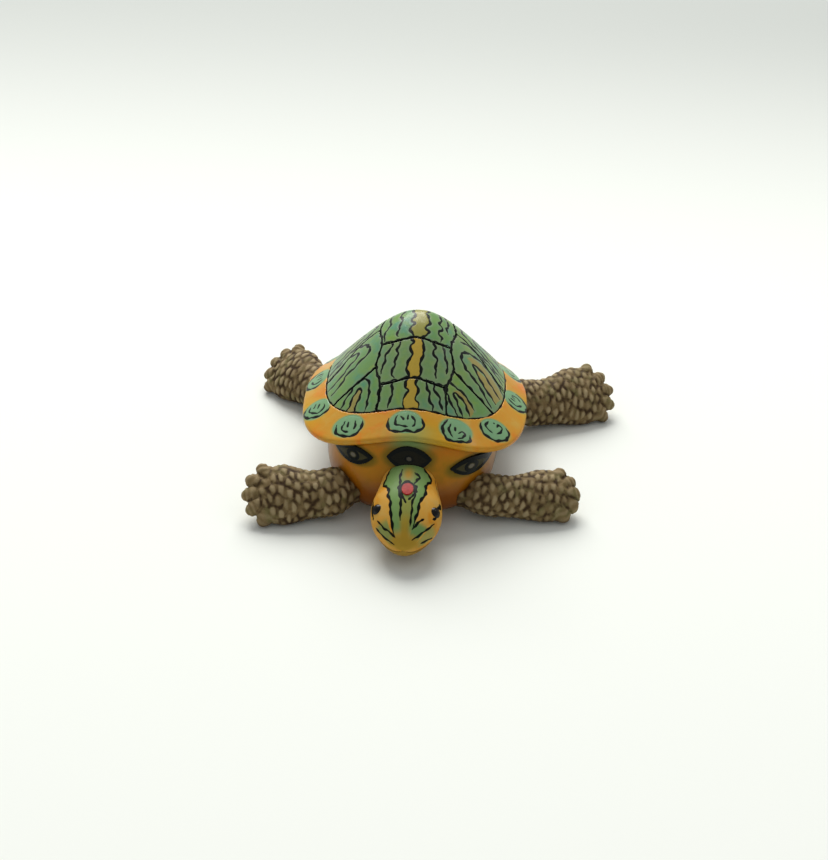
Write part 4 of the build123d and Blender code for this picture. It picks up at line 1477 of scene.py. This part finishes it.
@dataclass
class Leg:
    """One scaled clay leg with five blunt toes.

    The sizes without a value are the leg's own. The rest serve all four.
    """

    name: str
    side: int
    spread: float
    along: float
    half_breadth: float
    reach: float
    sweep: float
    voxel: float = 0.21
    tilt: float = 36.0
    half_thickness: float = 4.4
    palm_share: float = 0.86
    palm_height_share: float = 0.92
    toe_fan: float = 58.0
    toe_reach_share: float = 1.10
    toe_soft_reach: float = 4.6
    toe_soft_rounds: int = 36
    toe_crease: float = 0.30
    toe_fold: float = 0.10
    toe_shares: tuple[float, ...] = (-1, -0.5, 0, 0.5, 1)
    scale_gap: float = 2.9
    scatter_share: float = 0.82
    settle_rounds: int = 6
    settle_step: int = 4
    scale_height: float = 0.31
    valley_level: float = 0.62
    stretch_along: float = 0.55
    stretch_broad: float = 0.40
    sole_height: float = 0.05
    lowest: float = 0.02
    work: Workpiece | None = None

    def directions(self) -> tuple[np.ndarray, np.ndarray]:
        """The way the leg points, and the way its paddle is broad.

        Returns:
            The two directions.
        """
        sweep, tilt = math.radians(self.sweep), math.radians(self.tilt)
        heading = np.array((self.side * math.cos(sweep), math.sin(sweep), 0.0))
        forward = np.array((self.side * math.sin(sweep), -math.cos(sweep), 0.0))
        return heading, forward * math.cos(tilt) - np.array((0.0, 0.0, math.sin(tilt)))

    def toes(self) -> list[np.ndarray]:
        """The tips of the five toes.

        Returns:
            One place a toe.
        """
        heading, broad = self.directions()
        tilt = math.radians(self.tilt)
        rest = math.hypot(self.half_breadth * math.sin(tilt), self.half_thickness * 0.9 * math.cos(tilt))
        rest *= self.palm_height_share
        palm = np.array((self.side * self.spread, self.along, rest))
        palm = palm + heading * self.reach * self.palm_share
        tips = []
        for share in self.toe_shares:
            angle = math.radians(self.toe_fan * share)
            way = heading * math.cos(angle) + broad * math.sin(angle)
            tips.append(palm + way * self.half_breadth * self.toe_reach_share)
        return tips

    def toe_distances(self, points: np.ndarray) -> np.ndarray:
        """Distances from each point to the toes' tips, the nearest tip in the first row."""
        return np.sort([np.linalg.norm(points - tip, axis=1) for tip in self.toes()], axis=0)

    def seeds(self, space: np.ndarray, chooser: random.Random) -> np.ndarray:
        """Scatters scale centres evenly over the leg, then settles them.

        Args:
            space: The leg's points, stretched so that scales come out broad.
            chooser: The source of the scatter.

        Returns:
            The scale centres in the stretched space.
        """
        order = list(range(len(space)))
        chooser.shuffle(order)
        kept: list[np.ndarray] = []
        cells: dict[tuple[int, int, int], list[np.ndarray]] = {}
        gap = self.scale_gap * self.scatter_share
        for number in order:
            point = space[number]
            cell = tuple(int(math.floor(value / gap)) for value in point)
            near = (other for i in (-1, 0, 1) for j in (-1, 0, 1) for k in (-1, 0, 1)
                    for other in cells.get((cell[0] + i, cell[1] + j, cell[2] + k), ()))
            if all(np.sum((other - point) ** 2) > gap * gap for other in near):
                kept.append(point)
                cells.setdefault(cell, []).append(point)
        centres = np.array(kept)
        some = space[::self.settle_step]
        for _ in range(self.settle_rounds):
            owner = np.array([found[1] for found in self.nearest(centres, some, 1)])
            for axis in range(3):
                total = np.bincount(owner, weights=some[:, axis], minlength=len(centres))
                count = np.maximum(np.bincount(owner, minlength=len(centres)), 1)
                centres[:, axis] = np.where(total != 0, total / count, centres[:, axis])
        return centres

    @staticmethod
    def nearest(centres: np.ndarray, points: np.ndarray, many: int) -> list[tuple[float, int, float]]:
        """Finds the centres nearest to points.

        Args:
            centres: The centres.
            points: The points.
            many: How many centres to look at, 1 or 2.

        Returns:
            For each point: distance to its centre, that centre's number, and distance to the last one.
        """
        tree = KDTree(len(centres))
        for number, centre in enumerate(centres):
            tree.insert(centre, number)
        tree.balance()
        found = []
        for point in points:
            hits = tree.find_n(point, max(many, 1))
            found.append((hits[0][2], hits[0][1], hits[-1][2]))
        return found

    def build(self, frame: dict, origin: Vector) -> None:
        """Copies the leg and raises its scales, toe folds and toe creases.

        Args:
            frame: The loaded frame.
            origin: The middle of the shell.
        """
        work = Workpiece(frame, [self.name], f"scaled_{self.name}", self.voxel, 3, origin)
        self.work = work
        work.soften(self.toe_distances(work.points())[0] < self.toe_soft_reach, self.toe_soft_rounds)
        points = work.points()
        heading, broad = self.directions()
        root = np.array((self.side * self.spread, self.along, 0.0))
        ahead = (points - root) @ heading
        way = ahead / self.reach
        stretched = (points + np.outer(ahead, heading) * self.stretch_along
                     + np.outer(ahead, broad) * self.stretch_broad)
        chooser = random.Random(self.name)
        centres = self.seeds(stretched, chooser)
        found = np.array(self.nearest(centres, stretched, 2))
        edge = (found[:, 2] - found[:, 0]) / 2
        own = np.array([chooser.random() for _ in centres])[found[:, 1].astype(int)]
        toe = self.toe_distances(points)
        crease = ramp_up(toe[1] - toe[0], 0.9, 0.0) * ramp_up(toe[0], 6.2, 4.0)
        on_toe = ramp_up(toe[0], 4.8, 3.2)
        sole = ramp_up(points[:, 2], 0.9, 0.25)
        plump = ramp_up(edge, -0.25, 1.25)
        height = self.scale_height * (0.6 + 0.6 * own) * (plump - self.valley_level) * (1.0 - 0.85 * on_toe)
        sway = 1.6 * np.sin(points[:, 0] * 1.3 + points[:, 1] * 0.9)
        folds = np.sin(toe[0] * 3.9 + sway + points[:, 2] * 0.8)
        ridges = self.toe_fold * folds * on_toe * ramp_up(toe[0], 0.8, 2.0)
        height = (height + ridges - self.toe_crease * crease) * (1.0 - sole)
        low = points[:, 2] < self.sole_height
        points = points + work.normals() * height[:, None]
        points[:, 2] = np.where(low, points[:, 2], np.maximum(points[:, 2], self.lowest))
        work.place(points)
        scaled = plump * (0.55 + 0.6 * own)
        wrinkled = 0.52 + 0.16 * folds
        crest = scaled + (wrinkled - scaled) * on_toe
        work.paint("crest", np.clip(crest, 0.0, 1.0) * (1.0 - sole) * (1.0 - 0.3 * crease))
        # The crevices hold stain; the toe term paints shade in the grooves between the toes.
        work.paint("crevice_stain_and_shade", np.maximum(ramp_up(edge, 1.0, 0.0) * (1.0 - 0.8 * on_toe), 0.9 * crease))
        # Painted shade: darker near the floor and towards the root under the shell.
        work.paint("painted_shade", 0.65 * ramp_up(points[:, 2], 2.4, 0.4) + 0.35 * ramp_up(way, 0.35, 0.15))

    def dress(self, material: Material) -> None:
        """Gives the leg its clay."""
        self.work.dress(material, Slot.CLAY)


@dataclass
class Tail:
    """The short tail, scaled like the legs."""

    voxel: float = 0.2
    ring_rate: float = 4.6
    middle_height: float = 3.8
    scale_height: float = 0.24
    valley_level: float = 0.6
    work: Workpiece | None = None

    def build(self, frame: dict, origin: Vector) -> None:
        """Copies the tail and rings it with scales.

        Args:
            frame: The loaded frame.
            origin: The middle of the shell.
        """
        work = Workpiece(frame, ["tail"], "scaled_tail", self.voxel, 2, origin)
        self.work = work
        points = work.points()
        rings = np.sin(points[:, 1] * self.ring_rate) * 0.5 + 0.5
        turn = np.arctan2(points[:, 2] - self.middle_height, points[:, 0])
        row = np.floor(points[:, 1] * self.ring_rate / math.pi)
        sides = np.abs(np.sin(turn * 4.0 + row * 1.57))
        plump = np.minimum(rings, sides) ** 0.5
        lying = ramp_up(points[:, 2], 0.6, 0.1)
        relief = (plump - self.valley_level) * self.scale_height * (1.0 - lying)
        work.place(points + work.normals() * relief[:, None])
        work.paint("crest", plump)
        work.paint("crevice_stain_and_shade", 1.0 - ramp_up(plump, 0.1, 0.55))
        # Painted shade: darker near the floor.
        work.paint("painted_shade", 0.5 * ramp_up(points[:, 2], 2.4, 0.4))

    def dress(self, material: Material) -> None:
        """Gives the tail its clay."""
        self.work.dress(material, Slot.CLAY)


def repaint(node: bpy.types.Object, material: Material) -> None:
    """Puts a finish in every material slot of a CAD node.

    Args:
        node: The CAD node.
        material: Its finish.
    """
    for slot in node.material_slots:
        slot.material = material
    LOG.info("%s: kept as built", node.name)


# ---------------------------------------------------------------- studio


@dataclass
class Studio:
    """A pale table top, soft light from above and behind, and the camera."""

    azimuth: float = 2.6
    elevation: float = 31.0
    roll: float = 1.7
    distance: float = 420.0
    lens: float = 70.33
    sensor: float = 36.0
    aim: tuple[float, float, float] = (0.0, -6.6, 9.0)
    floor_reach: float = 6.0
    key_power: float = 62.0
    glint_power: float = 0.06
    fill: float = 0.44
    front_share: float = 0.92
    backdrop: float = 0.80
    fade_start: float = 0.05
    fade_end: float = 0.42
    window_size: float = 1.5
    window_place: tuple[float, float, float] = (-0.30, 1.62, 1.42)
    glint_size: float = 0.02
    glint_place: tuple[float, float, float] = (0.34, 0.20, 0.46)
    clip: Place = (0.01, 50.0)

    def floor(self) -> None:
        """Lays the table top, with painted shade that turns it a cool pale grey far behind, where the lamp's
        light falls off.
        """
        shape = bmesh.new()
        bmesh.ops.create_grid(shape, x_segments=1, y_segments=1, size=self.floor_reach)
        mesh = bpy.data.meshes.new("table_top")
        shape.to_mesh(mesh)
        shape.free()
        top = stand("table_top", mesh)
        bench = Bench("table_white")
        split = bench.node("ShaderNodeSeparateXYZ")
        bench.link(bench.place, split.inputs["Vector"])
        # Painted shade: the far table greys as the light falls off.
        far_shade = bench.band(split.outputs["Y"], self.fade_start, self.fade_end)
        colour = bench.mix(far_shade, tint(237, 240, 234), tint(176, 180, 176))
        mesh.materials.append(bench.finish(colour, 0.75, specular=0.2))

    def lights(self) -> None:
        """Sets the sky, brighter behind the object, one broad lamp and a small one for a glint."""
        world = bpy.data.worlds.new("studio_sky")
        world.use_nodes = True
        ground = world.node_tree.nodes["Background"]
        tree = world.node_tree
        sky = tree.nodes.new("ShaderNodeTexCoord").outputs["Generated"]
        split = tree.nodes.new("ShaderNodeSeparateXYZ")
        tree.links.new(sky, split.inputs["Vector"])
        fade = tree.nodes.new("ShaderNodeMapRange")
        fade.interpolation_type = "SMOOTHSTEP"
        for name, value in (("From Min", -0.9), ("From Max", 0.5), ("To Min", self.fill * self.front_share),
                            ("To Max", self.fill)):
            fade.inputs[name].default_value = value
        tree.links.new(split.outputs["Y"], fade.inputs["Value"])
        seen = tree.nodes.new("ShaderNodeMix")
        tree.links.new(tree.nodes.new("ShaderNodeLightPath").outputs["Is Camera Ray"], seen.inputs[0])
        tree.links.new(fade.outputs["Result"], seen.inputs[2])
        seen.inputs[3].default_value = self.backdrop
        tree.links.new(seen.outputs[0], ground.inputs["Strength"])
        ground.inputs["Color"].default_value = (0.97, 0.985, 1.0, 1.0)
        bpy.context.scene.world = world
        self.lamp("window", self.window_size, self.key_power, Vector(self.window_place))
        self.lamp("glint", self.glint_size, self.glint_power, Vector(self.glint_place))

    def lamp(self, name: str, size: float, power: float, place: Vector) -> None:
        """Hangs one square lamp that looks at the object.

        Args:
            name: The lamp's name.
            size: Its side in metres.
            power: Its power in watts.
            place: Where it hangs.
        """
        light = bpy.data.lights.new(name, "AREA")
        light.size = size
        light.energy = power
        light.color = (1.0, 0.99, 0.965)
        hung = stand(name, light)
        turned = (-place).to_track_quat("-Z", "Y").to_matrix().to_4x4()
        hung.matrix_world = Matrix.Translation(place) @ turned

    def camera(self, origin: Vector) -> None:
        """Stands the camera at the photograph's angle.

        Args:
            origin: The middle of the shell.
        """
        turn, climb, roll = (math.radians(angle) for angle in (self.azimuth, self.elevation, self.roll))
        back = Vector((math.sin(turn) * math.cos(climb), -math.cos(turn) * math.cos(climb),
                       math.sin(climb)))
        right = Vector((math.cos(turn), math.sin(turn), 0.0))
        up = back.cross(right)
        across = right * math.cos(roll) + up * math.sin(roll)
        upright = up * math.cos(roll) - right * math.sin(roll)
        place = origin + Vector(self.aim) * MM + back * self.distance * MM
        lens = bpy.data.cameras.new("camera")
        lens.lens = self.lens
        lens.sensor_fit = "VERTICAL"
        lens.sensor_height = self.sensor
        lens.clip_start, lens.clip_end = self.clip
        camera = stand("camera", lens)
        turned = Matrix((across, upright, back)).transposed().to_4x4()
        camera.matrix_world = Matrix.Translation(place) @ turned
        bpy.context.scene.camera = camera


# Each leg's node, side, place of its root across and along, half breadth, reach and sweep in degrees.
LEGS = (("foreleg_left", 1, 9.0, -30.5, 7.3, 28.8, 8.5), ("foreleg_right", -1, 9.0, -30.5, 8.4, 25.0, -8.0),
        ("hindleg_left", 1, 18.0, 10.6, 9.0, 30.8, 24.0), ("hindleg_right", -1, 18.0, 10.6, 8.4, 25.6, 43.0))


def main() -> None:
    """Builds and dresses every sub-assembly, then the studio."""
    logging.basicConfig(level=logging.INFO, format="%(message)s")
    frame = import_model()
    form = ShellForm()
    low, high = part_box("shell_rim")
    origin = Vector(((low[0] + high[0]) / 2, low[1] + form.rim_front_reach * MM, 0.0))
    dome, rim, torso, head, tail = Dome(form), Rim(form), Torso(), Head(), Tail()
    legs = [Leg(*sizes) for sizes in LEGS]
    for assembly in (dome, rim, torso, head, tail, *legs):
        assembly.build(frame, origin)
    dome.dress()
    rim.dress()
    torso.dress()
    head.dress(frame)
    clay = ScaledClay().make()
    for limb in (*legs, tail):
        limb.dress(clay)
    seam = PlainGlaze("seam_dark_glaze", tint(14, 22, 12), tint(26, 34, 20), 0.4, 0.2).make()
    repaint(frame["nodes"]["carapace"], seam)
    studio = Studio()
    studio.floor()
    studio.lights()
    studio.camera(origin)
    bpy.context.scene.view_settings.view_transform = "Standard"


if __name__ == "__main__":
    main()
